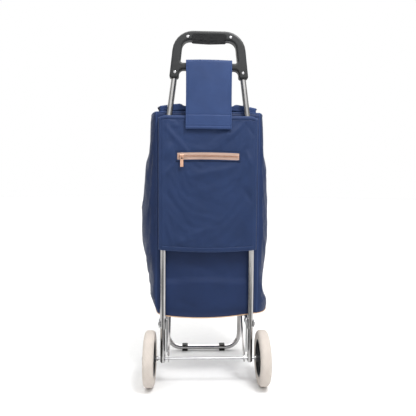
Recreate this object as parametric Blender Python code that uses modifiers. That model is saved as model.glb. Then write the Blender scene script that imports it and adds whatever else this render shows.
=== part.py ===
"""Two-wheeled shopping trolley: a steel-tube frame with a plastic D-handle, a folding foot loop and a fabric bag.

Metres, +Z up. +X is to the right when the trolley is seen from the user's side, which faces -Y. The bag is on the
+Y side of the tubes. The origin is on the floor, under the middle of the trolley.
"""

import math

import bmesh
import bpy
from mathutils import Matrix, Vector

# ---- driving dimensions -------------------------------------------------------------------------------------
FRAME_Y = -0.0930  # plane of the main tubes and the axle
CLEAR = 0.0003  # gap between pieces that touch

TUBE_X, TUBE_R = 0.118, 0.0078
TUBE_END_Z, TUBE_BEND_Z, TUBE_BEND_R = 0.1555, 0.606, 0.09
TUBE_TOP_X, TUBE_TOP_Z = 0.0857, 0.856
LEG_R, LEG_LOW, LEG_HIGH = 0.0068, 0.063, 0.189

AXLE_Z, AXLE_R, AXLE_END = 0.074, 0.003, 0.1700
WHEEL_X, WHEEL_R, TYRE_W, TYRE_SEAT_R = 0.153, 0.074, 0.028, 0.0490
HUB_IN, HUB_OUT, BOSS_R = 0.1365, 0.1680, 0.012

PIVOT_Y, PIVOT_Z, PIN_R, RIVET_R = 0.030, 0.1695, 0.003, 0.0025
PLATE_T, PLATE_IN_X, PLATE_OUT_X = 0.002, 0.1072, 0.1264
FOOT_R, ARM_X, LOOP_X, LOOP_Y, BAR_Z = 0.0072, 0.1178, 0.1165, 0.250, 0.0100
LOOP_BEND, FLOOR_BEND = 0.030, 0.044
CLIP_X, CLIP_W, CLIP_H, CLIP_D = 0.0605, 0.018, 0.0205, 0.0100
STRUT_X, STRUT_WELD_X, STRUT_R, FORK_R = 0.1024, 0.1098, 0.003, 0.0098

HANDLE_TOP, HANDLE_T, HANDLE_EDGE = 0.9395, 0.0280, 0.005
SOCKET_Z, SOCKET_IN, SOCKET_OUT = 0.819, 0.0783, 0.1030
CROSS_LOW, CROSS_HIGH = 0.8415, 0.8585
OPEN_TOP, OPEN_LOW_X, OPEN_TOP_X = 0.9155, 0.0742, 0.0680

BAG_BASE, BAG_RIM, BACK_TOP = 0.1785, 0.7335, 0.7460
BELLY_Z, BASE_W, BELLY_W, RIM_W = 0.454, 0.150, 0.175, 0.155
BACK_W, BACK_Y, FRONT_Y, CROWN, CLOTH = 0.1290, 0.0112, 0.2150, 0.0125, 0.0022
SLEEVE_LOW, SLEEVE_HIGH, SLEEVE_W, SLEEVE_Y = 0.370, 0.7220, 0.1285, -0.0125
STRAP_W, STRAP_T, STRAP_IN, STRAP_END, STRAP_TOP = 0.0595, 0.002, 0.0145, 0.6888, 0.8630
LID_W, LID_Y, LID_Z, LID_FRONT, LID_DROP = 0.128, 0.0180, 0.7530, 0.2330, 0.0960

ZIP_Z, ZIP_HALF, SLIDER_X = 0.6180, 0.081, -0.0690

NAVY = (0.045, 0.075, 0.165)
SILVER = (0.62, 0.62, 0.63)


# ---- helpers ------------------------------------------------------------------------------------------------
def clear_scene():
    for obj in list(bpy.data.objects):
        bpy.data.objects.remove(obj, do_unlink=True)


def new_collection(name):
    made = bpy.data.collections.new(name)
    bpy.context.scene.collection.children.link(made)
    return made


def material(name, colour, roughness, metallic=0.0):
    made = bpy.data.materials.new(name)
    made.use_nodes = True
    shader = made.node_tree.nodes["Principled BSDF"]
    shader.inputs["Base Color"].default_value = (*colour, 1.0)
    shader.inputs["Roughness"].default_value = roughness
    shader.inputs["Metallic"].default_value = metallic
    return made


clear_scene()
PARTS = new_collection("shopping_trolley")
CUTTERS = new_collection("cutters")
STEEL = material("zinc_plated_steel", SILVER, 0.28, 1.0)
PLASTIC = material("charcoal_plastic", (0.055, 0.058, 0.062), 0.5)
BLACK = material("black_rubber", (0.012, 0.012, 0.012), 0.7)
HUB = material("black_hub_plastic", (0.02, 0.02, 0.022), 0.45)
FOAM = material("cream_eva_foam", (0.80, 0.74, 0.66), 0.85)
FABRIC = material("navy_polyester", NAVY, 0.8)
TAN = material("tan_piping", (0.62, 0.40, 0.24), 0.7)
BRASS = material("copper_zip", (0.70, 0.42, 0.27), 0.35, 0.8)
HOOKS = material("hook_and_loop", (0.03, 0.05, 0.11), 0.95)


def at(x, y, z):
    """A point given by its distance in front of the tube plane."""
    return Vector((x, FRAME_Y + y, z))


def keep(obj, look):
    obj.data.materials.clear()
    obj.data.materials.append(look)
    PARTS.objects.link(obj)
    return obj


def helper(obj):
    obj.hide_render = True
    obj.display_type = "WIRE"
    CUTTERS.objects.link(obj)
    return obj


def mesh_object(name, bm, smooth=True):
    bmesh.ops.recalc_face_normals(bm, faces=bm.faces)
    mesh = bpy.data.meshes.new(name)
    bm.to_mesh(mesh)
    bm.free()
    if smooth:
        mesh.shade_smooth()
        mesh.set_sharp_from_angle(angle=math.radians(35))
    return bpy.data.objects.new(name, mesh)


def rod(name, start, end, radius, segments=24):
    """A solid cylinder from start to end."""
    start, end = Vector(start), Vector(end)
    bm = bmesh.new()
    turn = Vector((0, 0, 1)).rotation_difference(end - start).to_matrix().to_4x4()
    bmesh.ops.create_cone(
        bm,
        cap_ends=True,
        segments=segments,
        radius1=radius,
        radius2=radius,
        depth=(end - start).length,
        matrix=Matrix.Translation((start + end) / 2) @ turn,
    )
    return mesh_object(name, bm)


def block(name, low, high, bevel=0.0, segments=2):
    """A box between two corners, with rounded edges."""
    low, high = Vector(low), Vector(high)
    size = high - low
    bm = bmesh.new()
    bmesh.ops.create_cube(bm, size=1.0, matrix=Matrix.Translation((low + high) / 2) @ Matrix.Diagonal((*size, 1.0)))
    obj = mesh_object(name, bm)
    if bevel:
        rounding = obj.modifiers.new("rounding", "BEVEL")
        rounding.width = bevel
        rounding.segments = segments
    return obj


def lathe(name, profile, centre, steps=48):
    """A ring turned about an X-parallel line through centre. profile: (x, radius) pairs of a closed outline."""
    bm = bmesh.new()
    points = [bm.verts.new((x, centre.y, centre.z + radius)) for x, radius in profile]
    edges = [bm.edges.new((a, b)) for a, b in zip(points, points[1:] + points[:1])]
    bmesh.ops.spin(
        bm,
        geom=points + edges,
        cent=(0, centre.y, centre.z),
        axis=(1, 0, 0),
        angle=2 * math.pi,
        steps=steps,
        use_merge=True,
    )
    bmesh.ops.remove_doubles(bm, verts=bm.verts, dist=0.000005)
    return mesh_object(name, bm)


def filleted(corners, arc_steps=6, closed=False):
    """The points of a path through corners, each (point, radius), with its corners rounded."""
    corners = [(Vector(p), r) for p, r in corners]
    path = []
    for i, (point, radius) in enumerate(corners):
        first, last = i == 0, i == len(corners) - 1
        if radius <= 0 or (not closed and (first or last)):
            path.append(point)
            continue
        before = (corners[i - 1][0] - point).normalized()
        after = (corners[(i + 1) % len(corners)][0] - point).normalized()
        half = before.angle(after) / 2
        centre = point + (before + after).normalized() * (radius / math.sin(half))
        start = point + before * (radius / math.tan(half)) - centre
        end = point + after * (radius / math.tan(half)) - centre
        sweep = start.angle(end)
        for k in range(arc_steps + 1):
            t = k / arc_steps
            path.append(centre + (start * math.sin((1 - t) * sweep) + end * math.sin(t * sweep)) / math.sin(sweep))
    return path


def curve(name, points, radius, closed=False, resolution=3):
    """A tube along a path, with filled ends."""
    data = bpy.data.curves.new(name, "CURVE")
    data.dimensions = "3D"
    data.bevel_depth = radius
    data.bevel_resolution = resolution
    data.use_fill_caps = True
    spline = data.splines.new("POLY")
    spline.points.add(len(points) - 1)
    for slot, point in zip(spline.points, points):
        slot.co = (*point, 1.0)
    spline.use_cyclic_u = closed
    return bpy.data.objects.new(name, data)


def outline(name, loops, low, high, edge=0.0):
    """A flat plate in the XZ plane between two Y positions. loops: closed lists of (x, z); the inner ones are holes."""
    data = bpy.data.curves.new(name, "CURVE")
    data.dimensions = "2D"
    data.fill_mode = "BOTH"
    data.extrude = (high - low) / 2 - edge
    data.bevel_depth = edge
    data.offset = -edge
    data.bevel_resolution = 2
    for loop in loops:
        spline = data.splines.new("POLY")
        spline.points.add(len(loop) - 1)
        for slot, point in zip(spline.points, loop):
            slot.co = (point[0], point[1], 0.0, 1.0)
        spline.use_cyclic_u = True
    obj = bpy.data.objects.new(name, data)
    obj.matrix_world = Matrix.Translation((0, (low + high) / 2, 0)) @ Matrix.Rotation(math.pi / 2, 4, "X")
    return solid(obj)


def solid(obj):
    """A curve object made a mesh with its caps welded."""
    bpy.context.scene.collection.objects.link(obj)
    bpy.context.view_layer.update()
    seen = obj.evaluated_get(bpy.context.evaluated_depsgraph_get())
    mesh = bpy.data.meshes.new_from_object(seen)
    mesh.transform(obj.matrix_world)
    bm = bmesh.new()
    bm.from_mesh(mesh)
    bmesh.ops.remove_doubles(bm, verts=bm.verts, dist=0.000005)
    name = obj.name
    bpy.data.objects.remove(obj, do_unlink=True)
    bpy.data.meshes.remove(mesh)
    return mesh_object(name, bm)


def boolean(obj, other, operation="DIFFERENCE"):
    if other.name not in CUTTERS.objects:
        helper(other)
    step = obj.modifiers.new(operation.lower(), "BOOLEAN")
    step.operation = operation
    step.object = other
    return obj


def cross_hole(obj, side, low, high, y, z, radius):
    """A hole along X between two distances from the middle plane."""
    return boolean(obj, rod(f"{obj.name}_hole_{len(obj.modifiers)}", at(side * low, y, z), at(side * high, y, z), radius))


def surface(name, columns, rows, place, thickness, offset=-1.0):
    """A cloth panel: a grid whose points place(u, v) sets, u and v from 0 to 1, thickened."""
    bm = bmesh.new()
    bmesh.ops.create_grid(bm, x_segments=columns, y_segments=rows, size=0.5)
    for vert in bm.verts:
        vert.co = place(vert.co.x + 0.5, vert.co.y + 0.5)
    mesh = bpy.data.meshes.new(name)
    bm.to_mesh(mesh)
    bm.free()
    mesh.shade_smooth()
    obj = bpy.data.objects.new(name, mesh)
    cloth = obj.modifiers.new("cloth", "SOLIDIFY")
    cloth.thickness = thickness
    cloth.offset = offset
    cloth.use_even_offset = True
    return obj


def along(path, t):
    """The point at share t of a path's length."""
    lengths = [(b - a).length for a, b in zip(path, path[1:])]
    left = max(0.0, min(1.0, t)) * sum(lengths)
    for (a, b), length in zip(zip(path, path[1:]), lengths):
        if left <= length:
            return a.lerp(b, left / length)
        left -= length
    return path[-1]


def axis_empty(name, point, pieces):
    """An empty on a joint's axis, which its pieces hang on."""
    empty = bpy.data.objects.new(name, None)
    empty.location = point
    empty.empty_display_size = 0.02
    PARTS.objects.link(empty)
    bpy.context.view_layer.update()
    for piece in pieces:
        piece.parent = empty
        piece.matrix_parent_inverse = empty.matrix_world.inverted()
    return empty


# ---- steel frame --------------------------------------------------------------------------------------------
def tube_path(side, low):
    corners = [
        (at(side * TUBE_X, 0, low), 0),
        (at(side * TUBE_X, 0, TUBE_BEND_Z), TUBE_BEND_R * 4),
        (at(side * TUBE_TOP_X, 0, TUBE_TOP_Z), 0),
    ]
    return filleted(corners, 8)


def main_tube(side, name):
    """Straight below, bent inwards behind the bag's sleeve, and open at its lower end, where the leg enters it."""
    tube = solid(curve(name, tube_path(side, TUBE_END_Z), TUBE_R))
    bore = rod(name + "_bore", at(side * TUBE_X, 0, 0.14), at(side * TUBE_X, 0, LEG_HIGH + 0.001), LEG_R + CLEAR)
    boolean(tube, bore)
    cross_hole(tube, side, 0.10, 0.14, 0, PIVOT_Z, RIVET_R + CLEAR)
    return keep(tube, STEEL)


def leg(side, name):
    """The inner tube that carries the axle, with a domed lower end."""
    path = [at(side * TUBE_X, 0, LEG_LOW + 0.003), at(side * TUBE_X, 0, LEG_HIGH)]
    tube = rod(name, path[0], path[1], LEG_R)
    dome = rod(name + "_dome", at(side * TUBE_X, 0, LEG_LOW), path[0] + Vector((0, 0, 0.002)), LEG_R - 0.0012)
    rounding = dome.modifiers.new("rounding", "BEVEL")
    rounding.width = 0.0015
    rounding.segments = 2
    boolean(tube, dome, "UNION")
    cross_hole(tube, side, 0.10, 0.14, 0, AXLE_Z, AXLE_R + CLEAR)
    cross_hole(tube, side, 0.10, 0.14, 0, PIVOT_Z, RIVET_R + CLEAR)
    return keep(tube, STEEL)


def inner_plate(side, name):
    """A pressed angle on the leg's inner side: a link that holds the foot's pivot, and a strip down the leg."""
    x0, x1 = sorted((side * PLATE_IN_X, side * (PLATE_IN_X + PLATE_T)))
    link = block(name, at(x0, -0.006, PIVOT_Z - 0.009), at(x1, PIVOT_Y + 0.011, PIVOT_Z + 0.008), 0.0004, 1)
    strip = block(name + "_strip", at(x0, -0.0059, 0.094), at(x1, 0.0075, 0.184), 0.0004, 1)
    f0, f1 = sorted((side * 0.1046, side * (PLATE_IN_X + PLATE_T - 0.0002)))
    flange = block(name + "_flange", at(f0, -0.0080, 0.0942), at(f1, -0.0058, 0.1838), 0.0004, 1)
    boolean(link, strip, "UNION")
    boolean(link, flange, "UNION")
    cross_hole(link, side, 0.10, 0.115, 0, PIVOT_Z, RIVET_R + CLEAR)
    cross_hole(link, side, 0.10, 0.115, PIVOT_Y, PIVOT_Z, PIN_R + CLEAR)
    return keep(link, STEEL)


def outer_plate(side, name):
    """The outer link between the leg's rivet and the foot's pivot."""
    x0, x1 = sorted((side * PLATE_OUT_X, side * (PLATE_OUT_X + PLATE_T)))
    link = block(name, at(x0, -0.0075, PIVOT_Z - 0.0085), at(x1, PIVOT_Y + 0.011, PIVOT_Z + 0.008), 0.0004, 1)
    cross_hole(link, side, 0.12, 0.135, 0, PIVOT_Z, RIVET_R + CLEAR)
    cross_hole(link, side, 0.12, 0.135, PIVOT_Y, PIVOT_Z, PIN_R + CLEAR)
    return keep(link, STEEL)


def rivet(side, name, y, radius):
    """A round-headed pin through both plates."""
    heads = (side * (PLATE_IN_X - CLEAR - 0.0018), side * (PLATE_OUT_X + PLATE_T + CLEAR + 0.0018))
    centre = at(0, y, PIVOT_Z)
    a, b = heads
    wide = radius + 0.0022
    grip_a, grip_b = a + side * 0.0018, b - side * 0.0018
    profile = [
        (a, 0.0006),
        (a, wide - 0.0012),
        (grip_a, wide),
        (grip_a, radius),
        (grip_b, radius),
        (grip_b, wide),
        (b, wide - 0.0012),
        (b, 0.0006),
    ]
    return keep(lathe(name, profile, centre, 20), STEEL)


def axle(name):
    return keep(rod(name, at(-AXLE_END, 0, AXLE_Z), at(AXLE_END, 0, AXLE_Z), AXLE_R, 20), STEEL)


def ring(name, x0, x1, inner, outer, look, steps=28, edge=0.0006):
    """A collar on the axle with broken edges."""
    low, high = sorted((x0, x1))
    profile = [
        (low, inner),
        (low, outer - edge),
        (low + edge, outer),
        (high - edge, outer),
        (high, outer - edge),
        (high, inner),
    ]
    return keep(lathe(name, profile, at(0, 0, AXLE_Z), steps), look)


def axle_cap(side, name):
    """A domed push-on cap over the axle's end."""
    cap = rod(name, at(side * (HUB_OUT + 0.0006), 0, AXLE_Z), at(side * 0.1732, 0, AXLE_Z), 0.0085, 28)
    rounding = cap.modifiers.new("rounding", "BEVEL")
    rounding.width = 0.0012
    rounding.segments = 2
    rounding.limit_method = "ANGLE"
    seat = rod(name + "_seat", at(side * 0.160, 0, AXLE_Z), at(side * (AXLE_END + 0.0006), 0, AXLE_Z), AXLE_R + CLEAR)
    return keep(boolean(cap, seat), BLACK)


# ---- wheels -------------------------------------------------------------------------------------------------
def tyre(side, name):
    """A foam tyre with a flat tread and round shoulders."""
    half, shoulder = TYRE_W / 2, 0.009
    profile = [(-half + 0.003, TYRE_SEAT_R), (-half, TYRE_SEAT_R + 0.004)]
    for sign in (-1, 1):
        for k in range(5):
            turn = math.pi / 2 * (k / 4 if sign < 0 else 1 - k / 4)
            x = sign * (half - shoulder + shoulder * math.cos(turn))
            profile.append((x, WHEEL_R - shoulder + shoulder * math.sin(turn)))
    profile += [(half, TYRE_SEAT_R + 0.004), (half - 0.003, TYRE_SEAT_R)]
    placed = [(side * WHEEL_X + x, r) for x, r in profile]
    return keep(lathe(name, placed, at(0, 0, AXLE_Z), 56), FOAM)


def hub(side, name):
    """A moulded wheel centre: rim, thin web, boss and ribs on both faces."""
    rim, web = TYRE_SEAT_R - CLEAR, 0.002
    c, half = side * WHEEL_X, 0.0125
    inner, outer = side * HUB_IN, side * HUB_OUT
    profile = [
        (c - side * half, rim),
        (c - side * half, rim - 0.0045),
        (c - side * web, rim - 0.006),
        (c - side * web, BOSS_R + 0.001),
        (inner, BOSS_R - 0.002),
        (inner, AXLE_R + CLEAR),
        (outer, AXLE_R + CLEAR),
        (outer, BOSS_R - 0.002),
        (c + side * web, BOSS_R + 0.001),
        (c + side * web, rim - 0.006),
        (c + side * half, rim - 0.0045),
        (c + side * half, rim),
    ]
    centre = lathe(name, profile, at(0, 0, AXLE_Z), 40)
    middle = at(c, 0, AXLE_Z)
    for k in range(6):
        rib = block(f"{name}_rib_{k}", (-0.0100, -0.0014, BOSS_R - 0.003), (0.0100, 0.0014, rim - 0.003))
        rib.data.transform(Matrix.Translation(middle) @ Matrix.Rotation(math.tau * k / 6, 4, "X"))
        boolean(centre, rib, "UNION")
    return keep(centre, HUB)


# ---- folding foot -------------------------------------------------------------------------------------------
def foot_loop(name):
    """One bent tube: two arms under the bag, two uprights and the bar on the floor."""
    half = [
        (at(ARM_X, PIVOT_Y - 0.010, PIVOT_Z), 0),
        (at(LOOP_X, LOOP_Y, PIVOT_Z), LOOP_BEND),
        (at(LOOP_X, LOOP_Y, BAR_Z), FLOOR_BEND),
    ]
    mirrored = [(Vector((-p.x, p.y, p.z)), r) for p, r in reversed(half)]
    loop = solid(curve(name, filleted(half + mirrored, 8), FOOT_R, resolution=3))
    for side in (-1, 1):
        cross_hole(loop, side, 0.10, 0.135, PIVOT_Y, PIVOT_Z, PIN_R + CLEAR)
    return keep(loop, STEEL)


def strut(side, name):
    """A rod welded to the arm, whose forked end rests on the axle."""
    path = filleted(
        [
            (at(side * STRUT_WELD_X, 0.078, PIVOT_Z), 0),
            (at(side * STRUT_X, 0.078, PIVOT_Z), 0.004),
            (at(side * STRUT_X, 0.0045, AXLE_Z + 0.0070), 0),
        ],
        5,
    )
    bar = solid(curve(name, path, STRUT_R, resolution=2))
    x0, x1 = sorted((side * 0.1010, side * 0.1038))
    fork = rod(name + "_fork", at(x0, 0, AXLE_Z), at(x1, 0, AXLE_Z), FORK_R, 28)
    leave = Vector((0, -(PIVOT_Z - AXLE_Z), PIVOT_Y)).normalized()
    width = AXLE_R + 0.0006
    slot_box = block(name + "_slot", (-0.02, -0.001, -width - 0.0006), (0.02, 0.03, width + 0.0006))
    frame = Matrix.Translation(at(side * STRUT_X, 0, AXLE_Z)) @ Vector((0, 1, 0)).rotation_difference(leave).to_matrix().to_4x4()
    slot_box.data.transform(frame)
    seat = rod(name + "_seat", at(side * 0.09, 0, AXLE_Z), at(side * 0.115, 0, AXLE_Z), width, 24)
    boolean(bar, fork, "UNION")
    boolean(bar, seat)
    boolean(bar, slot_box)
    return keep(bar, STEEL)


def foot_clip(side, name):
    """A rubber clip on the floor bar, open to the back."""
    low = at(side * CLIP_X - CLIP_W / 2, LOOP_Y - CLIP_D, 0)
    high = at(side * CLIP_X + CLIP_W / 2, LOOP_Y + CLIP_D, CLIP_H)
    clip = block(name, low, high, 0.0018, 2)
    x0, x1 = side * CLIP_X - 0.02, side * CLIP_X + 0.02
    hole = rod(name + "_hole", at(x0, LOOP_Y, BAR_Z), at(x1, LOOP_Y, BAR_Z), FOOT_R + CLEAR, 24)
    mouth = block(name + "_mouth", at(x0, LOOP_Y - 0.02, BAR_Z - 0.0058), at(x1, LOOP_Y, BAR_Z + 0.0058))
    boolean(clip, hole)
    boolean(clip, mouth)
    return keep(clip, BLACK)


# ---- handle -------------------------------------------------------------------------------------------------
def handle_loops():
    """The D-handle's outer outline and its opening, as (x, z) points."""
    outer = [
        ((-SOCKET_OUT, SOCKET_Z), 0.0060),
        ((-0.0892, HANDLE_TOP), 0.054),
        ((0.0892, HANDLE_TOP), 0.054),
        ((SOCKET_OUT, SOCKET_Z), 0.0060),
        ((SOCKET_IN, SOCKET_Z), 0.0060),
        ((0.0770, CROSS_LOW), 0.0115),
        ((-0.0770, CROSS_LOW), 0.0115),
        ((-SOCKET_IN, SOCKET_Z), 0.0060),
    ]
    inner = [
        ((-OPEN_LOW_X, CROSS_HIGH), 0.006),
        ((OPEN_LOW_X, CROSS_HIGH), 0.006),
        ((OPEN_TOP_X, OPEN_TOP), 0.021),
        ((-OPEN_TOP_X, OPEN_TOP), 0.021),
    ]
    loops = []
    for corners in (outer, inner):
        path = filleted([(Vector((x, z, 0)), r) for (x, z), r in corners], 7, closed=True)
        loops.append([(p.x, p.y) for p in path])
    return loops


def handle_shell(back, name):
    """One moulded half of the handle, grooved for the tubes. The halves meet on the tube plane."""
    half = HANDLE_T / 2
    shell = outline(name, handle_loops(), FRAME_Y - half, FRAME_Y + half, HANDLE_EDGE)
    side = 1 if back else -1
    y0, y1 = sorted((side * -CLEAR / 2, side * 0.03))
    boolean(shell, block(name + "_half", at(-0.2, y0, 0.75), at(0.2, y1, 1.0)))
    for s in (-1, 1):
        bottom = at(s * (TUBE_TOP_X + 0.0105), 0, 0.775)
        top = at(s * (TUBE_TOP_X - 0.0003), 0, TUBE_TOP_Z + 0.0024)
        boolean(shell, rod(f"{name}_groove_{s + 1}", bottom, top, TUBE_R + CLEAR + 0.0002, 28))
    if back:
        for k, (x, z) in enumerate(screw_places()):
            boolean(shell, rod(f"{name}_recess_{k}", at(x, -0.016, z), at(x, -half + 0.0024, z), 0.0042, 24))
    return keep(shell, PLASTIC)


def screw_places():
    return [(-0.0553, 0.9240), (0.0553, 0.9240), (-0.0883, 0.8335), (0.0883, 0.8335)]


def handle_screw(name, x, z):
    """A pan-head screw, with its cross recess left to the surface finish."""
    face = -HANDLE_T / 2
    screw = rod(name, at(x, face + 0.0021, z), at(x, face + 0.0002, z), 0.0037, 20)
    rounding = screw.modifiers.new("rounding", "BEVEL")
    rounding.width = 0.0007
    rounding.segments = 2
    rounding.limit_method = "ANGLE"
    return keep(screw, STEEL)


def grip_insert(name):
    """A soft grip that wraps the underside of the top bar and bows down in the middle."""
    corners = [
        ((-0.0450, 0.9315), 0.007),
        ((0.0450, 0.9315), 0.007),
        ((0.0450, 0.9145), 0.004),
        ((0.0, 0.9125), 0.12),
        ((-0.0450, 0.9145), 0.004),
    ]
    path = filleted([(Vector((x, z, 0)), r) for (x, z), r in corners], 6, closed=True)
    low, high = FRAME_Y - HANDLE_T / 2 - 0.0014, FRAME_Y + HANDLE_T / 2 + 0.0014
    grip = outline(name, [[(p.x, p.y) for p in path]], low, high, 0.0010)
    reach = HANDLE_T / 2 + CLEAR
    boolean(grip, block(name + "_seat", at(-0.1, -reach, OPEN_TOP - CLEAR), at(0.1, reach, 1.0)))
    return keep(grip, BLACK)


# ---- bag ----------------------------------------------------------------------------------------------------
def bag_half_width(z):
    if z < BELLY_Z:
        return BASE_W + (BELLY_W - BASE_W) * math.sin(math.pi / 2 * max(0.0, z - BAG_BASE) / (BELLY_Z - BAG_BASE))
    return RIM_W + (BELLY_W - RIM_W) * math.cos(math.pi / 2 * min(1.0, (z - BELLY_Z) / (BAG_RIM - BELLY_Z)))


def side_point(t, z):
    """The side gusset's section: a cubic from the back seam round to the front corner."""
    w = bag_half_width(z)
    points = [(0.1295, BACK_Y + 0.0023), (w + 0.008, 0.030), (w + 0.008, 0.160), (w - 0.018, FRONT_Y)]
    weights = [(1 - t) ** 3, 3 * t * (1 - t) ** 2, 3 * t * t * (1 - t), t**3]
    return sum(p[0] * c for p, c in zip(points, weights)), sum(p[1] * c for p, c in zip(points, weights))


def front_point(s, z):
    """The front panel's section: s runs from -1 to 1 across it."""
    edge = bag_half_width(z) - 0.018
    return edge * s, FRONT_Y + CROWN * (1 - s * s)


def bag_side(side, name):
    def place(u, v):
        z = BAG_BASE + 0.0034 + (BAG_RIM - BAG_BASE - 0.0034) * v
        x, y = side_point(0.03 + 0.945 * u, z)
        return at(side * x, y, z)

    return keep(surface(name, 9, 10, place, CLOTH, -side), FABRIC)


def bag_front(name):
    def place(u, v):
        z = BAG_BASE + 0.0034 + (BAG_RIM - BAG_BASE - 0.0034) * v
        x, y = front_point((2 * u - 1) * 0.992, z)
        return at(x, y, z)

    return keep(surface(name, 8, 10, place, CLOTH, 1.0), FABRIC)


def bag_back(name):
    return keep(block(name, at(-BACK_W, BACK_Y, BAG_BASE + 0.0034), at(BACK_W, BACK_Y + CLOTH, BACK_TOP)), FABRIC)


def base_outline(grow):
    """The base board's outline, grown outwards, as points from the back right corner round to the left."""
    right = [side_point(k / 10, BAG_BASE) for k in range(11)]
    front = [front_point(1 - k / 4, BAG_BASE) for k in range(1, 8)]
    left = [(-x, y) for x, y in reversed(right)]
    points = [Vector((x, y, 0)) for x, y in right + front + left]
    grown = []
    for k, point in enumerate(points):
        before = (point - points[k - 1]).normalized()
        after = (points[(k + 1) % len(points)] - point).normalized()
        out = (before + after).normalized().cross(Vector((0, 0, 1)))
        grown.append(point + out * (grow / max(0.5, out.dot(after.cross(Vector((0, 0, 1)))))))
    return grown


def bag_bottom(name):
    """The stiff base board."""
    data = bpy.data.curves.new(name, "CURVE")
    data.dimensions = "2D"
    data.fill_mode = "BOTH"
    data.extrude = 0.0013
    points = base_outline(0.0)
    spline = data.splines.new("POLY")
    spline.points.add(len(points) - 1)
    for slot, p in zip(spline.points, points):
        slot.co = (p.x, FRAME_Y + p.y, 0.0, 1.0)
    spline.use_cyclic_u = True
    board = bpy.data.objects.new(name, data)
    board.location = (0, 0, BAG_BASE + 0.0013)
    return keep(solid(board), FABRIC)


def bag_piping(name):
    """The piping sewn round the base's edge."""
    points = [Vector((p.x, FRAME_Y + p.y, BAG_BASE + 0.0008)) for p in base_outline(0.0021)]
    return keep(solid(curve(name, points, 0.0014, closed=True, resolution=1)), TAN)


def back_sleeve(name):
    """The panel over the tubes, sewn to the bag along its sides and open above and below."""
    corners = [
        (Vector((-SLEEVE_W, BACK_Y - 0.0008, 0)), 0),
        (Vector((-SLEEVE_W, SLEEVE_Y, 0)), 0.009),
        (Vector((SLEEVE_W, SLEEVE_Y, 0)), 0.009),
        (Vector((SLEEVE_W, BACK_Y - 0.0008, 0)), 0),
    ]
    path = filleted(corners, 5)

    def place(u, v):
        p = path[round(u * (len(path) - 1))]
        return at(p.x, p.y, SLEEVE_LOW + (SLEEVE_HIGH - SLEEVE_LOW) * v)

    return keep(surface(name, len(path) - 1, 2, place, 0.002, -1.0), FABRIC)


def strap_flap(name):
    """The strap's outer run, from the crossbar's edge down to its hook-and-loop end."""
    y = -STRAP_IN - STRAP_T
    return keep(block(name, at(-STRAP_W, y, STRAP_END), at(STRAP_W, -STRAP_IN, 0.8545), 0.0004, 1), FABRIC)


def strap_tail(name):
    """The strap's inner run: over the crossbar and down inside the bag's back."""
    corners = [
        (at(0, -STRAP_IN - STRAP_T, 0.8550), 0),
        (at(0, -STRAP_IN - STRAP_T, STRAP_TOP), 0.006),
        (at(0, STRAP_IN + STRAP_T, STRAP_TOP), 0.006),
        (at(0, STRAP_IN + STRAP_T, 0.694), 0),
    ]
    path = filleted(corners, 5)

    def place(u, v):
        p = path[round(u * (len(path) - 1))]
        return Vector((STRAP_W * (2 * v - 1), p.y, p.z))

    return keep(surface(name, len(path) - 1, 2, place, STRAP_T, 1.0), FABRIC)


def lid(name):
    """The flap over the bag's mouth, hinged on the back seam, with a front that hangs over the bag."""
    path = filleted(
        [
            (Vector((0, LID_Y, 0)), 0),
            (Vector((0, LID_FRONT, 0)), 0.014),
            (Vector((0, LID_FRONT, -LID_DROP)), 0),
        ],
        5,
    )

    def place(u, v):
        p = along(path, v)
        s = 2 * u - 1
        reach = min(1.0, (p.y - LID_Y) / 0.06)
        end = max(0.0, (-p.z - LID_DROP + 0.03) / 0.03)
        half = LID_W + 0.010 * reach - 0.018 * end * end
        crown = 0.004 * (1 - s * s) * reach
        return at(half * s, p.y, LID_Z + p.z + crown)

    return keep(surface(name, 6, 14, place, 0.002, -1.0), FABRIC)


def patch(name, x, y0, y1, z0, z1):
    return keep(block(name, at(-x, y0, z0), at(x, y1, z1)), HOOKS)


# ---- zip ----------------------------------------------------------------------------------------------------
def zip_tape(name):
    y = SLEEVE_Y
    return keep(block(name, at(-ZIP_HALF, y - 0.0010, ZIP_Z - 0.0095), at(ZIP_HALF, y - CLEAR, ZIP_Z + 0.0095)), BRASS)


def zip_coil(name):
    y = SLEEVE_Y - 0.0013
    return keep(block(name, at(-0.076, y - 0.0014, ZIP_Z - 0.0022), at(0.076, y, ZIP_Z + 0.0022), 0.0006, 1), BRASS)


def zip_stop(side, name):
    y = SLEEVE_Y - 0.0013
    x0, x1 = sorted((side * 0.0765, side * 0.0790))
    return keep(block(name, at(x0, y - 0.0016, ZIP_Z - 0.0030), at(x1, y, ZIP_Z + 0.0030), 0.0004, 1), BRASS)


def zip_slider(name):
    """The slider's body with the bridge that its pull hangs on."""
    y = SLEEVE_Y - 0.0013 - 0.0014 - CLEAR
    x = SLIDER_X
    body = block(name, at(x - 0.0055, y - 0.0018, ZIP_Z - 0.0046), at(x + 0.0055, y, ZIP_Z + 0.0046), 0.0007, 2)
    path = filleted(
        [
            (at(x, y - 0.0012, ZIP_Z + 0.0030), 0),
            (at(x, y - 0.0062, ZIP_Z + 0.0030), 0.0016),
            (at(x, y - 0.0062, ZIP_Z - 0.0030), 0.0016),
            (at(x, y - 0.0012, ZIP_Z - 0.0030), 0),
        ],
        4,
    )
    boolean(body, solid(curve(name + "_bridge", path, 0.0007, resolution=1)), "UNION")
    return keep(body, BRASS)


def pull_axis():
    """Where the pull turns: inside the slider's bridge, at its lower end."""
    return at(SLIDER_X, SLEEVE_Y - 0.0030 - 0.0040, ZIP_Z - 0.0013)


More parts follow.
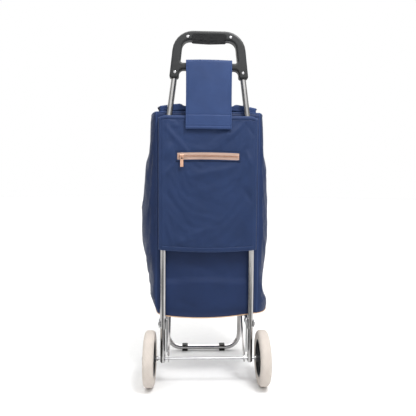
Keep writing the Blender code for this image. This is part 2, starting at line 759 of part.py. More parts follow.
def zip_pull(name):
    """A flat pull with a slot at its top, hanging on the bridge."""
    c = pull_axis()
    tab = block(name, (c.x - 0.0042, c.y - 0.0007, c.z - 0.0265), (c.x + 0.0042, c.y + 0.0007, c.z + 0.0007), 0.0003, 1)
    slot_box = block(name + "_slot", (c.x - 0.0026, c.y - 0.01, c.z - 0.0068), (c.x + 0.0026, c.y + 0.01, c.z - 0.0007))
    return keep(boolean(tab, slot_box), BRASS)


# ---- the whole trolley --------------------------------------------------------------------------------------
def build():
    for side, word in ((-1, "left"), (1, "right")):
        main_tube(side, f"main_tube_{word}")
        leg(side, f"leg_{word}")
        inner_plate(side, f"inner_plate_{word}")
        outer_plate(side, f"outer_plate_{word}")
        rivet(side, f"leg_rivet_{word}", 0, RIVET_R)
        rivet(side, f"pivot_pin_{word}", PIVOT_Y, PIN_R)
        ring(f"axle_collar_{word}", side * 0.1300, side * 0.1345, AXLE_R + CLEAR, 0.0062, STEEL)
        axle_cap(side, f"axle_cap_{word}")
        bag_side(side, f"bag_side_{word}")
        zip_stop(side, f"zip_stop_{word}")
        wheel = [tyre(side, f"tyre_{word}"), hub(side, f"hub_{word}")]
        axis_empty(f"wheel_axis_{word}", at(side * WHEEL_X, 0, AXLE_Z), wheel)
    axle("axle")
    foot = [foot_loop("foot_loop")]
    for side, word in ((-1, "left"), (1, "right")):
        foot += [strut(side, f"strut_{word}"), foot_clip(side, f"foot_clip_{word}")]
    axis_empty("foot_axis", at(0, PIVOT_Y, PIVOT_Z), foot)
    handle_shell(True, "handle_back")
    handle_shell(False, "handle_front")
    grip_insert("grip_insert")
    for k, (x, z) in enumerate(screw_places()):
        handle_screw(f"handle_screw_{k + 1}", x, z)
    bag_back("bag_back")
    bag_front("bag_front")
    bag_bottom("bag_bottom")
    bag_piping("bag_piping")
    back_sleeve("back_sleeve")
    strap_tail("strap_tail")
    patch("sleeve_patch", 0.050, SLEEVE_Y - 0.0008, SLEEVE_Y - CLEAR, 0.694, 0.716)
    patch("front_patch", 0.030, FRONT_Y + CROWN + 0.0004, FRONT_Y + CROWN + 0.0014, 0.662, 0.687)
    zip_tape("zip_tape")
    zip_coil("zip_coil")
    strap = [strap_flap("strap_flap"), patch("strap_patch", 0.050, -STRAP_IN + CLEAR, -STRAP_IN + 0.0008, 0.694, 0.716)]
    axis_empty("strap_axis", at(0, -STRAP_IN - STRAP_T, 0.8547), strap)
    flap = [lid("bag_lid"), patch("lid_patch", 0.030, LID_FRONT - 0.0034, LID_FRONT - 0.0024, 0.662, 0.687)]
    axis_empty("lid_axis", at(0, LID_Y, LID_Z), flap)
    axis_empty("slider_axis", at(SLIDER_X, SLEEVE_Y, ZIP_Z), [zip_slider("zip_slider")])
    axis_empty("pull_axis", pull_axis(), [zip_pull("zip_pull")])


build()
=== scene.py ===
import math

import bmesh
import bpy
import numpy as np
from mathutils import Matrix, Vector, noise


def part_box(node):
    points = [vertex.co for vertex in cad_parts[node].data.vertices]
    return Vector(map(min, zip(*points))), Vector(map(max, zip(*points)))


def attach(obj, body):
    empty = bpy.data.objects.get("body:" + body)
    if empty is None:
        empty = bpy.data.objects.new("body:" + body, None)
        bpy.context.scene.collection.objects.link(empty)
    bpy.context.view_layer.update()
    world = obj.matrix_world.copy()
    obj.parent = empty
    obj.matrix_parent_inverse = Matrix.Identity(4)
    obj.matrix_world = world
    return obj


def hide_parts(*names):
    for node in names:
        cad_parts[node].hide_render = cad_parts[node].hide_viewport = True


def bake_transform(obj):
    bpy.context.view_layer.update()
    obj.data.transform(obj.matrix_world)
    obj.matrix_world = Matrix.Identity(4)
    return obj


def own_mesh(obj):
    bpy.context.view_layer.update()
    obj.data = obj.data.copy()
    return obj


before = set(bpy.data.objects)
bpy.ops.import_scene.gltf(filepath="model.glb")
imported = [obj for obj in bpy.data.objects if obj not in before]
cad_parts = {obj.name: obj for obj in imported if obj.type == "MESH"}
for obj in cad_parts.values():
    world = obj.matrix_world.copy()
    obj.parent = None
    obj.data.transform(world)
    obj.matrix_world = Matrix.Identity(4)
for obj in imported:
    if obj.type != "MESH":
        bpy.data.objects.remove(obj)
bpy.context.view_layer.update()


# ---- places, from the CAD --------------------------------------------------
def low(node):
    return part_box(node)[0]


def high(node):
    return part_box(node)[1]


TUBE_Y = (low("axle").y + high("axle").y) / 2
AXLE_Z = (low("axle").z + high("axle").z) / 2
BACK = low("bag_back").y - TUBE_Y
BASE = low("bag_bottom").z
RIM = high("bag_front").z
FRONT = high("bag_side_left").y - TUBE_Y
SLEEVE_TOP, SLEEVE_LOW = high("back_sleeve").z, low("back_sleeve").z
SLEEVE_Y, SLEEVE_W = low("back_sleeve").y - TUBE_Y, high("back_sleeve").x
STRAP_W, STRAP_END = high("strap_flap").x, low("strap_flap").z
STRAP_Y, STRAP_TOP = low("strap_flap").y - TUBE_Y, high("strap_tail").z
LID_TOP, LID_FRONT, LID_LOW = high("bag_lid").z, high("bag_lid").y - TUBE_Y, low("bag_lid").z
LID_BACK, HINGE_Z = low("bag_lid").y - TUBE_Y, 0.753
ZIP_Z = (low("zip_tape").z + high("zip_tape").z) / 2
ZIP_HALF = high("zip_tape").x
WHEEL_X = (low("tyre_right").x + high("tyre_right").x) / 2
WHEEL_R = high("tyre_right").z - AXLE_Z


# Cloth thicknesses, cord radii and the height of a stitch over its cloth.
BAG_CLOTH, SLEEVE_CLOTH, LID_CLOTH, BAND_CLOTH, TAPE_CLOTH = 0.0016, 0.0011, 0.0015, 0.0012, 0.0006
FLAP_CLOTH, TAIL_CLOTH = 0.0019, 0.0018
PIPING_R, SEAM_R, RIM_R, HEM_R = 0.0014, 0.0015, 0.0021, 0.0011
LID_EDGE_R, WELT_R, WELT_END_R = 0.0013, 0.0013, 0.0012
STITCH_LIFT = 0.0003
BACK_LIMIT = BACK - 0.0035


def at(x, y, z):
    return Vector((x, TUBE_Y + y, z))


# ---- camera, light, floor --------------------------------------------------
SKY, SIDE_SKY, GLOSS_SKY, LAMP_POWER = 1.62, 0.34, 1.6, 21


# The camera: sensor width and focal length in millimetres, place from the tubes' plane, turn in radians.
SENSOR_MM, LENS_MM = 36, 37.95231
CAMERA_PLACE, CAMERA_TURN = (-0.0473, -1.1635, 0.5507), (-0.0414, 0.0586, 0.0083)


def make_camera():
    yaw, pitch, roll = CAMERA_TURN
    right = Vector((math.cos(yaw), math.sin(yaw), 0))
    ahead = Vector((-math.sin(yaw) * math.cos(pitch), math.cos(yaw) * math.cos(pitch), -math.sin(pitch)))
    up = right.cross(ahead)
    r2 = right * math.cos(roll) + up * math.sin(roll)
    u2 = up * math.cos(roll) - right * math.sin(roll)
    data = bpy.data.cameras.new("camera")
    data.sensor_width, data.lens = SENSOR_MM, LENS_MM
    data.clip_start, data.clip_end = 0.05, 60
    camera = bpy.data.objects.new("camera", data)
    bpy.context.scene.collection.objects.link(camera)
    turn = Matrix((r2, u2, -ahead)).transposed().to_4x4()
    camera.matrix_world = Matrix.Translation(at(*CAMERA_PLACE)) @ turn
    bpy.context.scene.camera = camera


def area_light(name, place, aim, size, power):
    data = bpy.data.lights.new(name, "AREA")
    data.shape = "DISK"
    data.size = size
    data.energy = power
    lamp = bpy.data.objects.new(name, data)
    bpy.context.scene.collection.objects.link(lamp)
    lamp.location = place
    lamp.rotation_mode = "QUATERNION"
    lamp.rotation_quaternion = (Vector(aim) - Vector(place)).to_track_quat("-Z", "Y")


def make_world():
    """A white studio, brighter overhead and greyer to the two sides. The camera sees it as plain white."""
    world = bpy.data.worlds.new("studio")
    bpy.context.scene.world = world
    world.use_nodes = True
    world.node_tree.nodes.clear()
    nodes = Nodes(world.node_tree)
    where = nodes.node("ShaderNodeTexCoord").outputs["Generated"]
    across = nodes.grey(nodes.math("ABSOLUTE", nodes.axis(where, 0)), 1.0, 0.22, 0.4, 0.8)
    upward = nodes.grey(nodes.axis(where, 2), SIDE_SKY, SKY, 0.15, 0.6)
    rays = nodes.node("ShaderNodeLightPath").outputs
    gloss = {0: rays["Is Glossy Ray"], 1: GLOSS_SKY, 2: 1.0}
    shine = nodes.node("ShaderNodeMath", gloss, operation="MULTIPLY_ADD").outputs[0]
    total = nodes.math("MULTIPLY", nodes.math("MULTIPLY", across, upward), shine)
    lit = nodes.node("ShaderNodeBackground", {"Color": (1.0, 0.995, 0.985, 1), "Strength": total}).outputs[0]
    seen = nodes.node("ShaderNodeBackground", {"Color": (1, 1, 1, 1)}).outputs[0]
    pick = nodes.node("ShaderNodeMixShader", {0: rays["Is Camera Ray"], 1: lit, 2: seen}).outputs[0]
    nodes.node("ShaderNodeOutputWorld", {0: pick})
    area_light("top_front", at(0.45, -0.85, 1.85), at(0.05, 0, 0.62), 0.5, LAMP_POWER)
    dark_card()


def dark_card():
    """A grey card on the floor that only reflections show, so that the low tubes look grey."""
    corners = [at(x, y, 0.002) for x, y in ((-1.6, -2.6), (0.32, -2.6), (0.32, -0.22), (-1.6, -0.22))]
    mesh = bpy.data.meshes.new("grey_card")
    mesh.from_pydata(corners, [], [(0, 1, 2, 3)])
    card = bpy.data.objects.new("grey_card", mesh)
    bpy.context.scene.collection.objects.link(card)
    card.visible_camera = card.visible_diffuse = card.visible_shadow = False
    look = Look("card_felt")
    felt = look.noise(look.object_point(), 30, 2)
    look.link(look.ramp(felt, [(0.3, (0.1, 0.1, 0.1)), (0.7, (0.13, 0.13, 0.13))]), "Base Color")
    look.set(Roughness=0.95)
    card.data.materials.append(look.material)


def make_floor():
    bm = bmesh.new()
    bmesh.ops.create_circle(bm, cap_ends=True, segments=96, radius=14)
    mesh = bpy.data.meshes.new("floor")
    bm.to_mesh(mesh)
    bm.free()
    floor = bpy.data.objects.new("floor", mesh)
    bpy.context.scene.collection.objects.link(floor)
    floor.location.z = -0.0004
    look = Look("floor_paper")
    grain = look.noise(look.object_point(), 40, 3)
    look.link(look.ramp(grain, [(0.3, (0.93, 0.93, 0.93)), (0.7, (0.96, 0.96, 0.96))]), "Base Color")
    look.set(Roughness=0.75)
    look.bump(grain, 0.0004, 0.2)
    floor.data.materials.append(look.material)


# ---- materials -------------------------------------------------------------
def shade(tone, factor, add=0.0):
    return tuple(min(1.0, c * factor + add) for c in tone)


class Nodes:
    """Short ways to wire shader nodes in a tree."""

    def __init__(self, tree):
        self.tree = tree

    def node(self, kind, sockets=None, **settings):
        """A node of this kind. sockets: for each input, a value or another node's output."""
        made = self.tree.nodes.new(kind)
        for key, value in settings.items():
            setattr(made, key, value)
        for key, value in (sockets or {}).items():
            if isinstance(value, (int, float, tuple)):
                made.inputs[key].default_value = value
            else:
                self.tree.links.new(value, made.inputs[key])
        return made

    def scaled(self, source, x, y, z):
        return self.node("ShaderNodeMapping", {"Vector": source, "Scale": (x, y, z)}).outputs[0]

    def noise(self, source, scale, detail=2.0, rough=0.5):
        sockets = {"Vector": source, "Scale": scale, "Detail": detail, "Roughness": rough}
        return self.node("ShaderNodeTexNoise", sockets).outputs["Fac"]

    def math(self, operation, a, b=0.0):
        return self.node("ShaderNodeMath", {0: a, 1: b}, operation=operation).outputs[0]

    def axis(self, source, index):
        return self.node("ShaderNodeSeparateXYZ", {0: source}).outputs[index]

    def grey(self, source, low_value, high_value, start=0.0, end=1.0):
        """The source from start to end, as a value from low_value to high_value."""
        sockets = {"Value": source, "From Min": start, "From Max": end}
        sockets.update({"To Min": low_value, "To Max": high_value})
        return self.node("ShaderNodeMapRange", sockets).outputs[0]


class Look(Nodes):
    """A Principled material with its node wiring."""

    def __init__(self, name):
        self.material = bpy.data.materials.new(name)
        self.material.use_nodes = True
        super().__init__(self.material.node_tree)
        self.shader = self.tree.nodes["Principled BSDF"]

    def set(self, **values):
        for key, value in values.items():
            self.shader.inputs[key.replace("_", " ")].default_value = value

    def link(self, source, name):
        self.tree.links.new(source, self.shader.inputs[name])

    def object_point(self):
        return self.node("ShaderNodeTexCoord").outputs["Object"]

    def uv(self):
        return self.node("ShaderNodeTexCoord").outputs["UV"]

    def attribute(self, name):
        return self.node("ShaderNodeAttribute", attribute_name=name).outputs["Fac"]

    def ramp(self, source, stops):
        made = self.node("ShaderNodeValToRGB", {0: source})
        elements = made.color_ramp.elements
        for element, (place, colour) in zip(elements, stops, strict=True):
            element.position = place
            element.color = (*colour, 1.0)
        return made.outputs[0]

    def clouds(self, source, tone, deep, pale):
        return self.ramp(source, [(0.3, shade(tone, deep)), (0.7, shade(tone, pale))])

    def roughness(self, source, smooth, dull):
        self.link(self.grey(source, smooth, dull, 0.3, 0.7), "Roughness")

    def mix(self, factor, a, b):
        one, two = ((*colour, 1.0) if isinstance(colour, tuple) else colour for colour in (a, b))
        return self.node("ShaderNodeMix", {0: factor, 6: one, 7: two}, data_type="RGBA").outputs[2]

    def bump(self, height, distance, strength=1.0, after=None):
        sockets = {"Height": height, "Distance": distance, "Strength": strength}
        if after is not None:
            sockets["Normal"] = after
        made = self.node("ShaderNodeBump", sockets).outputs[0]
        self.link(made, "Normal")
        return made


def fabric(name, tone, pitch=0.0009, sheen=0.03, rough=0.5, wear=True):
    """Plain-woven polyester: two crossing yarns, slow colour drift, crease shine and rubbed edges."""
    look = Look(name)
    where = look.uv()
    turns = math.pi / pitch
    warp = look.math("SINE", look.math("MULTIPLY", look.axis(where, 0), turns))
    weft = look.math("SINE", look.math("MULTIPLY", look.axis(where, 1), turns))
    weave = look.math("MULTIPLY", warp, weft)
    slow = look.noise(look.object_point(), 14, 3, 0.6)
    fleck = look.noise(look.scaled(where, 1, 0.25, 1), 1500, 2)
    deep, pale = shade(tone, 0.86), shade(tone, 1.14)
    colour = look.ramp(slow, [(0.3, deep), (0.72, pale)])
    yarn = look.mix(look.grey(weave, 0.0, 0.3, -1, 1), colour, shade(tone, 0.72))
    yarn = look.mix(look.grey(fleck, 0.0, 0.16, 0.35, 0.7), yarn, shade(tone, 1.35, 0.01))
    if wear:
        rubbed = look.grey(look.attribute("wear"), 0.0, 0.38)
        yarn = look.mix(rubbed, yarn, shade(tone, 1.6, 0.015))
    look.link(yarn, "Base Color")
    look.roughness(look.noise(look.object_point(), 30, 4), rough - 0.08, rough + 0.1)
    look.set(Specular_IOR_Level=0.16, Sheen_Weight=sheen, Sheen_Roughness=0.45)
    soft = look.bump(look.noise(look.object_point(), 75, 3), 0.0006, 0.35)
    look.bump(weave, 0.00016, 0.5, soft)
    return look.material


def steel(name, tone, rough, along=2, streak=1.0):
    """Plated steel: fine drawing lines along the piece, light clouding and small scuffs."""
    look = Look(name)
    point = look.object_point()
    stretch = [260.0, 260.0, 260.0]
    stretch[along] = 6.0
    lines = look.noise(look.scaled(point, *stretch), 4, 3, 0.6)
    cloud = look.noise(point, 22, 4, 0.6)
    scuff = look.noise(look.scaled(point, 1, 1, 0.3), 160, 5, 0.7)
    colour = look.clouds(cloud, tone, 0.9, 1.05)
    colour = look.mix(look.grey(scuff, 0, 0.5, 0.62, 0.75), colour, shade(tone, 0.62))
    look.link(colour, "Base Color")
    look.set(Metallic=1.0)
    look.roughness(lines, rough - 0.05 * streak, rough + 0.09 * streak)
    look.bump(lines, 0.00006, 0.25 * streak)
    return look.material


def plastic(name, tone, rough, grain=900, height=0.00008):
    """Moulded plastic with a spark-eroded grain and paler rubbed high spots."""
    look = Look(name)
    point = look.object_point()
    fine = look.noise(point, grain, 3, 0.6)
    slow = look.noise(point, 18, 3)
    colour = look.clouds(slow, tone, 0.88, 1.12)
    colour = look.mix(look.grey(fine, 0, 0.35, 0.5, 0.75), colour, shade(tone, 1.5, 0.01))
    look.link(colour, "Base Color")
    look.roughness(look.noise(point, 60, 4), rough - 0.07, rough + 0.09)
    look.set(Specular_IOR_Level=0.25)
    look.bump(fine, height, 0.6)
    return look.material


def grip_rubber(name, tone):
    """Soft rubber with fine level ribs, and painted shade in the grooves between the ribs."""
    look = Look(name)
    point = look.object_point()
    ribs = look.math("SINE", look.math("MULTIPLY", look.axis(point, 2), math.tau / 0.0021))
    slow = look.noise(point, 60, 3)
    colour = look.clouds(slow, tone, 0.85, 1.2)
    # Painted shade: darker towards the bottom of each groove between the ribs.
    colour = look.mix(look.grey(ribs, 0.45, 0.0, -1, 1), colour, shade(tone, 0.45))
    look.link(colour, "Base Color")
    look.roughness(slow, 0.55, 0.75)
    look.set(Specular_IOR_Level=0.14)
    look.bump(ribs, 0.0004, 0.7, look.bump(look.noise(point, 1200, 2), 0.00005, 0.5))
    return look.material


def foam(name, tone):
    """EVA foam: a fine closed-cell pitting, warm clouding, dust on the tread and painted shade in the tread's
    dents.
    """
    look = Look(name)
    point = look.object_point()
    cells = look.node("ShaderNodeTexVoronoi", {"Vector": point, "Scale": 620}, feature="SMOOTH_F1")
    slow = look.noise(point, 26, 4, 0.6)
    colour = look.clouds(slow, tone, 0.93, 1.04)
    # Darker where the wear attribute is high: dust over the whole tread, and painted shade in the tread's
    # dents.
    colour = look.mix(look.grey(look.attribute("wear"), 0.0, 0.45), colour, shade(tone, 0.72))
    colour = look.mix(look.grey(look.noise(point, 240, 4), 0, 0.25, 0.5, 0.75), colour, shade(tone, 0.84))
    look.link(colour, "Base Color")
    look.roughness(slow, 0.72, 0.92)
    look.set(Specular_IOR_Level=0.3)
    look.bump(cells.outputs["Distance"], 0.0002, 0.5, look.bump(look.noise(point, 90, 3), 0.0005, 0.4))
    return look.material


def pile(name, tone):
    """Hook-and-loop pile."""
    look = Look(name)
    point = look.object_point()
    hairs = look.noise(look.scaled(point, 1, 1, 0.5), 1400, 4, 0.7)
    look.link(look.ramp(hairs, [(0.35, shade(tone, 0.5)), (0.65, shade(tone, 1.6))]), "Base Color")
    look.roughness(hairs, 0.8, 1.0)
    look.set(Sheen_Weight=0.5, Sheen_Roughness=0.6)
    look.bump(hairs, 0.0006, 0.9)
    return look.material


NAVY = (0.0117, 0.0252, 0.078)
make_camera()
make_world()
SHELL = fabric("bag_weave", NAVY)
PANEL = fabric("sleeve_weave", (0.0136, 0.029, 0.085))
STRAP = fabric("strap_weave", (0.0258, 0.0495, 0.136), rough=0.54)
LINING = fabric("lid_weave", (0.02, 0.042, 0.125))
# The thread: a dark navy of its own, made darker still as painted shade for the grooves that the stitch rows
# sit in.
THREAD = fabric("thread", (0.005, 0.01, 0.03), pitch=0.0005, wear=False)
TAN = fabric("piping_weave", (0.66, 0.44, 0.29), pitch=0.0006, sheen=0.1, wear=False)
TAPE = fabric("zip_tape_weave", (0.42, 0.29, 0.235), pitch=0.0006, sheen=0.25, rough=0.42, wear=False)
COPPER = steel("copper_metal", (0.7, 0.43, 0.31), 0.28, along=0)
CHROME = steel("tube_plating", (0.46, 0.455, 0.455), 0.18)
CHROME_Y = steel("foot_plating", (0.44, 0.43, 0.43), 0.22, along=1)
ZINC = steel("zinc_plating", (0.58, 0.58, 0.59), 0.3, streak=1.6)
AXLE = steel("axle_plating", (0.38, 0.38, 0.39), 0.26, along=0)
CHARCOAL = plastic("handle_grain", (0.017, 0.018, 0.019), 0.42)
BLACK = plastic("hub_grain", (0.018, 0.018, 0.02), 0.5)
RUBBER = plastic("foot_rubber_grain", (0.01, 0.01, 0.01), 0.62, grain=500)
GRIP = grip_rubber("grip_ribs", (0.012, 0.0125, 0.0135))
FOAM = foam("tyre_foam", (0.64, 0.58, 0.53))
PILE = pile("hook_and_loop_pile", (0.01, 0.017, 0.042))
make_floor()


# ---- mesh helpers ----------------------------------------------------------
def new_mesh(name, verts, faces, uvs=None, smooth=True):
    """An object from points and faces. uvs: one (u, v) in metres per point."""
    mesh = bpy.data.meshes.new(name)
    mesh.from_pydata([tuple(v) for v in verts], [], [tuple(int(i) for i in f) for f in faces])
    mesh.update()
    if uvs is not None:
        layer = mesh.uv_layers.new(name="cut")
        index = np.zeros(len(mesh.loops), np.int32)
        mesh.loops.foreach_get("vertex_index", index)
        layer.data.foreach_set("uv", np.asarray(uvs, np.float32)[index].ravel())
    if smooth:
        mesh.shade_smooth()
    obj = bpy.data.objects.new(name, mesh)
    bpy.context.scene.collection.objects.link(obj)
    return obj


def grid_faces(rows, columns, wrap=False):
    last = columns if wrap else columns - 1
    r, c = np.meshgrid(np.arange(rows - 1), np.arange(last), indexing="ij")
    r, c = r.ravel(), c.ravel()
    d = (c + 1) % columns
    return np.stack([r * columns + c, r * columns + d, (r + 1) * columns + d, (r + 1) * columns + c], 1)


def grid_uv(points):
    """Metres along the columns and rows of a (rows, columns, 3) grid."""
    across = np.linalg.norm(np.diff(points, axis=1), axis=2)
    down = np.linalg.norm(np.diff(points, axis=0), axis=2)
    u = np.concatenate([np.zeros((points.shape[0], 1)), np.cumsum(across, 1)], 1)
    u = u - u.mean(1, keepdims=True)
    v = np.concatenate([np.zeros((1, points.shape[1])), np.cumsum(down, 0)], 0)
    return np.stack([u, v], 2).reshape(-1, 2)


def put(obj, look, body, slot_name, *nodes):
    obj.data.materials.append(look)
    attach(obj, body)
    if nodes:
        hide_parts(*nodes)
    return obj


def cloth_sheet(name, points, thickness, offset=-1.0, flip=False, wear=None):
    """A sheet of cloth from a (rows, columns, 3) grid of points, given its thickness by a modifier."""
    rows, columns = points.shape[:2]
    faces = grid_faces(rows, columns)
    if flip:
        faces = faces[:, ::-1]
    obj = new_mesh(name, points.reshape(-1, 3), faces, grid_uv(points))
    set_wear(obj, wear if wear is not None else np.zeros(rows * columns))
    thicken(obj, thickness, offset)
    return obj


def set_wear(obj, values):
    made = obj.data.attributes.new("wear", "FLOAT", "POINT")
    made.data.foreach_set("value", np.clip(np.asarray(values, np.float32).ravel(), 0, 1))


def even_wear(obj, value):
    set_wear(obj, np.full(len(obj.data.vertices), value))


def lifted(points, normal_of, height=STITCH_LIFT):
    """The points moved a little outwards."""
    return [Vector(p) + normal_of(Vector(p)) * height for p in points]


def thicken(obj, thickness, offset=-1.0):
    step = obj.modifiers.new("thickness", "SOLIDIFY")
    step.thickness = thickness
    step.offset = offset


def smooth_step(t):
    t = np.clip(t, 0, 1)
    return t * t * (3 - 2 * t)


def fine_noise(x, y, z, scale):
    return np.array([noise.noise(Vector((a * scale, b * scale, c * scale))) for a, b, c in zip(x, y, z)])


def folds(x, z, creases):
    """The height of soft creases at points (x, z). Each crease: start x, z, end x, z, width, height."""
    total = np.zeros_like(x)
    for x0, z0, x1, z1, width, height in creases:
        dx, dz = x1 - x0, z1 - z0
        length = math.hypot(dx, dz)
        t = ((x - x0) * dx + (z - z0) * dz) / length**2
        off = ((x - x0) * dz - (z - z0) * dx) / length
        inside = np.clip(t, 0, 1)
        fade = np.sin(np.pi * inside) ** 0.7
        over = np.maximum(0, np.maximum(-t, t - 1)) * length / width
        ridge = 0.62 * np.exp(-((off / width) ** 2)) + 0.38 * np.exp(-np.abs(off) / (0.38 * width))
        total += height * fade * ridge * np.exp(-(over**2))
    return total


def hem_relief(distance, line, raised=0.0007, deep=0.0008, sharp=0.0011):
    """A doubled edge that stands proud as far as its stitch line, and the groove that the stitches pull."""
    groove = np.exp(-(((distance - line) / sharp) ** 2))
    return raised * smooth_step((line - distance) / 0.0012) - deep * groove


def spaced(total, step, lines, near=0.004):
    """Places from 0 to total, about step apart and closer together round the stitch lines."""
    places = list(np.linspace(0, total, int(total / step) + 1))
    for line in lines:
        places = [p for p in places if abs(p - line) > near or p in (0, total)]
        places += [line + near * t for t in (-0.8, -0.45, -0.25, -0.12, 0.0, 0.12, 0.25, 0.45, 0.8)]
    return np.array(sorted(p for p in places if 0 <= p <= total))


def tube_along(name, points, radius, sides=8, closed=False):
    """A round cord mesh along points, with rounded ends unless closed."""
    path = [Vector(p) for p in points]
    count = len(path)
    rings, uvs, travelled = [], [], 0.0
    up = None
    for i, p in enumerate(path):
        ahead = path[(i + 1) % count] if (closed or i < count - 1) else p
        behind = path[i - 1] if (closed or i > 0) else p
        tangent = (ahead - behind).normalized()
        if up is None:
            up = Vector((0, 0, 1)) if abs(tangent.z) < 0.8 else Vector((0, 1, 0))
        side = tangent.cross(up).normalized()
        up = side.cross(tangent).normalized()
        if i:
            travelled += (p - path[i - 1]).length
        for k in range(sides):
            a = math.tau * k / sides
            rings.append(p + (side * math.cos(a) + up * math.sin(a)) * radius)
            uvs.append((a * radius, travelled))
    faces = [tuple(f) for f in grid_faces(count, sides, True)]
    if closed:
        base = (count - 1) * sides
        for k in range(sides):
            faces.append((base + k, base + (k + 1) % sides, (k + 1) % sides, k))
    else:
        faces.append(tuple(range(sides))[::-1])
        faces.append(tuple(range((count - 1) * sides, count * sides)))
    return new_mesh(name, rings, [f[::-1] for f in faces], uvs)


def join_meshes(name, objects):
    """One object from several meshes, which are removed."""
    bm = bmesh.new()
    for o in objects:
        bm.from_mesh(o.data)
    mesh = bpy.data.meshes.new(name)
    bm.to_mesh(mesh)
    bm.free()
    for o in objects:
        bpy.data.objects.remove(o, do_unlink=True)
    obj = bpy.data.objects.new(name, mesh)
    bpy.context.scene.collection.objects.link(obj)
    return obj


def cords(name, lines, radius, sides=8):
    """One piece from a round cord along each line. radius: one for all, or one for each line."""
    sizes = radius if isinstance(radius, list) else [radius] * len(lines)
    made = [tube_along(f"{name}_{k}", line, size, sides) for k, (line, size) in enumerate(zip(lines, sizes))]
    return join_meshes(name, made)


def stitches(name, lines, normal_of, length=0.003, gap=0.0014, radius=0.0005):
    """Rows of short thread bumps. lines: lists of points; normal_of: the outward direction at a point."""
    verts, faces = [], []
    for line in lines:
        path = [Vector(p) for p in line]
        spans = [(b - a).length for a, b in zip(path, path[1:])]
        total = sum(spans)
        count = max(1, int(total / (length + gap)))
        step = total / count
        for mark in (k * step for k in range(count)):
            a, b = point_at(path, spans, mark), point_at(path, spans, min(total, mark + step - gap))
            add_stitch(verts, faces, a, b, normal_of((a + b) / 2), radius)
    return new_mesh(name, verts, faces, [(v.x, v.z) for v in verts])


def point_at(path, spans, distance):
    for a, b, span in zip(path, path[1:], spans):
        if distance <= span:
            return a.lerp(b, distance / max(span, 1e-9))
        distance -= span
    return path[-1].copy()


def add_stitch(verts, faces, a, b, out, radius):
    along = (b - a).normalized()
    side = along.cross(out).normalized()
    base = len(verts)
    for t, size in ((0.0, 0.35), (0.25, 1.0), (0.75, 1.0), (1.0, 0.35)):
        centre = a.lerp(b, t)
        for s, h in ((-1, -0.4), (-0.6, 0.8), (0.6, 0.8), (1, -0.4)):
            verts.append(centre + side * (s * radius * size * 1.5) + out * (h * radius * size))
    for ring in range(3):
        for k in range(4):
            d = (k + 1) % 4
            p = base + ring * 4
            faces.append((p + k, p + d, p + 4 + d, p + 4 + k))
    faces.append((base + 3, base + 2, base + 1, base))
    faces.append((base + 12, base + 13, base + 14, base + 15))


CLOTH_MASS, CLOTH_STIFF, CLOTH_DAMPING, AIR_DAMPING = 0.25, 12, 12, 3


def settle(obj, hold, frames, grow, gravity, cap, bend):
    """A short cloth simulation, kept in the mesh. hold: 0 free to 1 pinned, per point. cap: longest move."""
    scene = bpy.context.scene
    group = obj.vertex_groups.new(name="hold")
    for i, weight in enumerate(np.asarray(hold, float)):
        if weight > 0:
            group.add([i], float(min(1.0, weight)), "REPLACE")
    paused = [(m, m.show_viewport) for m in obj.modifiers]
    for m, _ in paused:
        m.show_viewport = False
    cloth = obj.modifiers.new("cloth", "CLOTH")
    settings = cloth.settings
    settings.quality = 6
    settings.mass = CLOTH_MASS
    settings.tension_stiffness = settings.compression_stiffness = settings.shear_stiffness = CLOTH_STIFF
    settings.bending_stiffness = bend
    settings.tension_damping = settings.compression_damping = settings.shear_damping = CLOTH_DAMPING
    settings.air_damping = AIR_DAMPING
    settings.vertex_group_mass = "hold"
    settings.pin_stiffness = 1.0
    settings.shrink_min = -grow
    settings.effector_weights.gravity = gravity
    cloth.collision_settings.use_collision = False
    cloth.collision_settings.use_self_collision = False
    cloth.point_cache.frame_start, cloth.point_cache.frame_end = 1, frames
    for number in range(1, frames + 1):
        scene.frame_set(number)
    seen = obj.evaluated_get(bpy.context.evaluated_depsgraph_get())
    count = len(obj.data.vertices)
    before, after = np.zeros(count * 3, np.float32), np.zeros(count * 3, np.float32)
    obj.data.vertices.foreach_get("co", before)
    seen.data.vertices.foreach_get("co", after)
    obj.modifiers.remove(cloth)
    for m, shown in paused:
        m.show_viewport = shown
    obj.vertex_groups.remove(group)
    scene.frame_set(1)
    before, after = before.reshape(-1, 3), after.reshape(-1, 3)
    move = np.nan_to_num(after - before)
    far = np.linalg.norm(move, axis=1, keepdims=True)
    move *= cap * np.tanh(far / cap) / np.maximum(far, 1e-9)
    obj.data.vertices.foreach_set("co", (before + move).astype(np.float32).ravel())
    obj.data.update()


def points_of(obj):
    data = np.zeros(len(obj.data.vertices) * 3, np.float32)
    obj.data.vertices.foreach_get("co", data)
    return data.reshape(-1, 3).astype(float)


def set_points(obj, points):
    obj.data.vertices.foreach_set("co", np.asarray(points, np.float32).ravel())
    obj.data.update()


def flatten_with_foot(obj):
    """Gives the piece its own copy of its mesh."""
    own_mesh(obj)


# ---- the bag ---------------------------------------------------------------
COLUMNS_BACK, COLUMNS_SIDE, COLUMNS_FRONT = 26, 30, 30
BACK_HALF, BOTTOM_LIFT, BAG_ROWS = 0.1365, 0.004, 72
# The bag's half width against height, for the bulge of each side.
LEFT_OUTLINE = [
    (0.18, 0.134), (0.209, 0.149), (0.234, 0.157), (0.274, 0.161), (0.318, 0.174), (0.354, 0.1865),
    (0.388, 0.192), (0.444, 0.1915), (0.514, 0.187), (0.564, 0.1825), (0.611, 0.172), (0.654, 0.1655),
    (0.699, 0.1565), (0.736, 0.152),
]
RIGHT_OUTLINE = [
    (0.18, 0.1715), (0.199, 0.18), (0.208, 0.179), (0.223, 0.173), (0.249, 0.166), (0.275, 0.167),
    (0.327, 0.1675), (0.354, 0.178), (0.389, 0.1845), (0.444, 0.182), (0.502, 0.18), (0.564, 0.18),
    (0.614, 0.168), (0.683, 0.155), (0.736, 0.148),
]


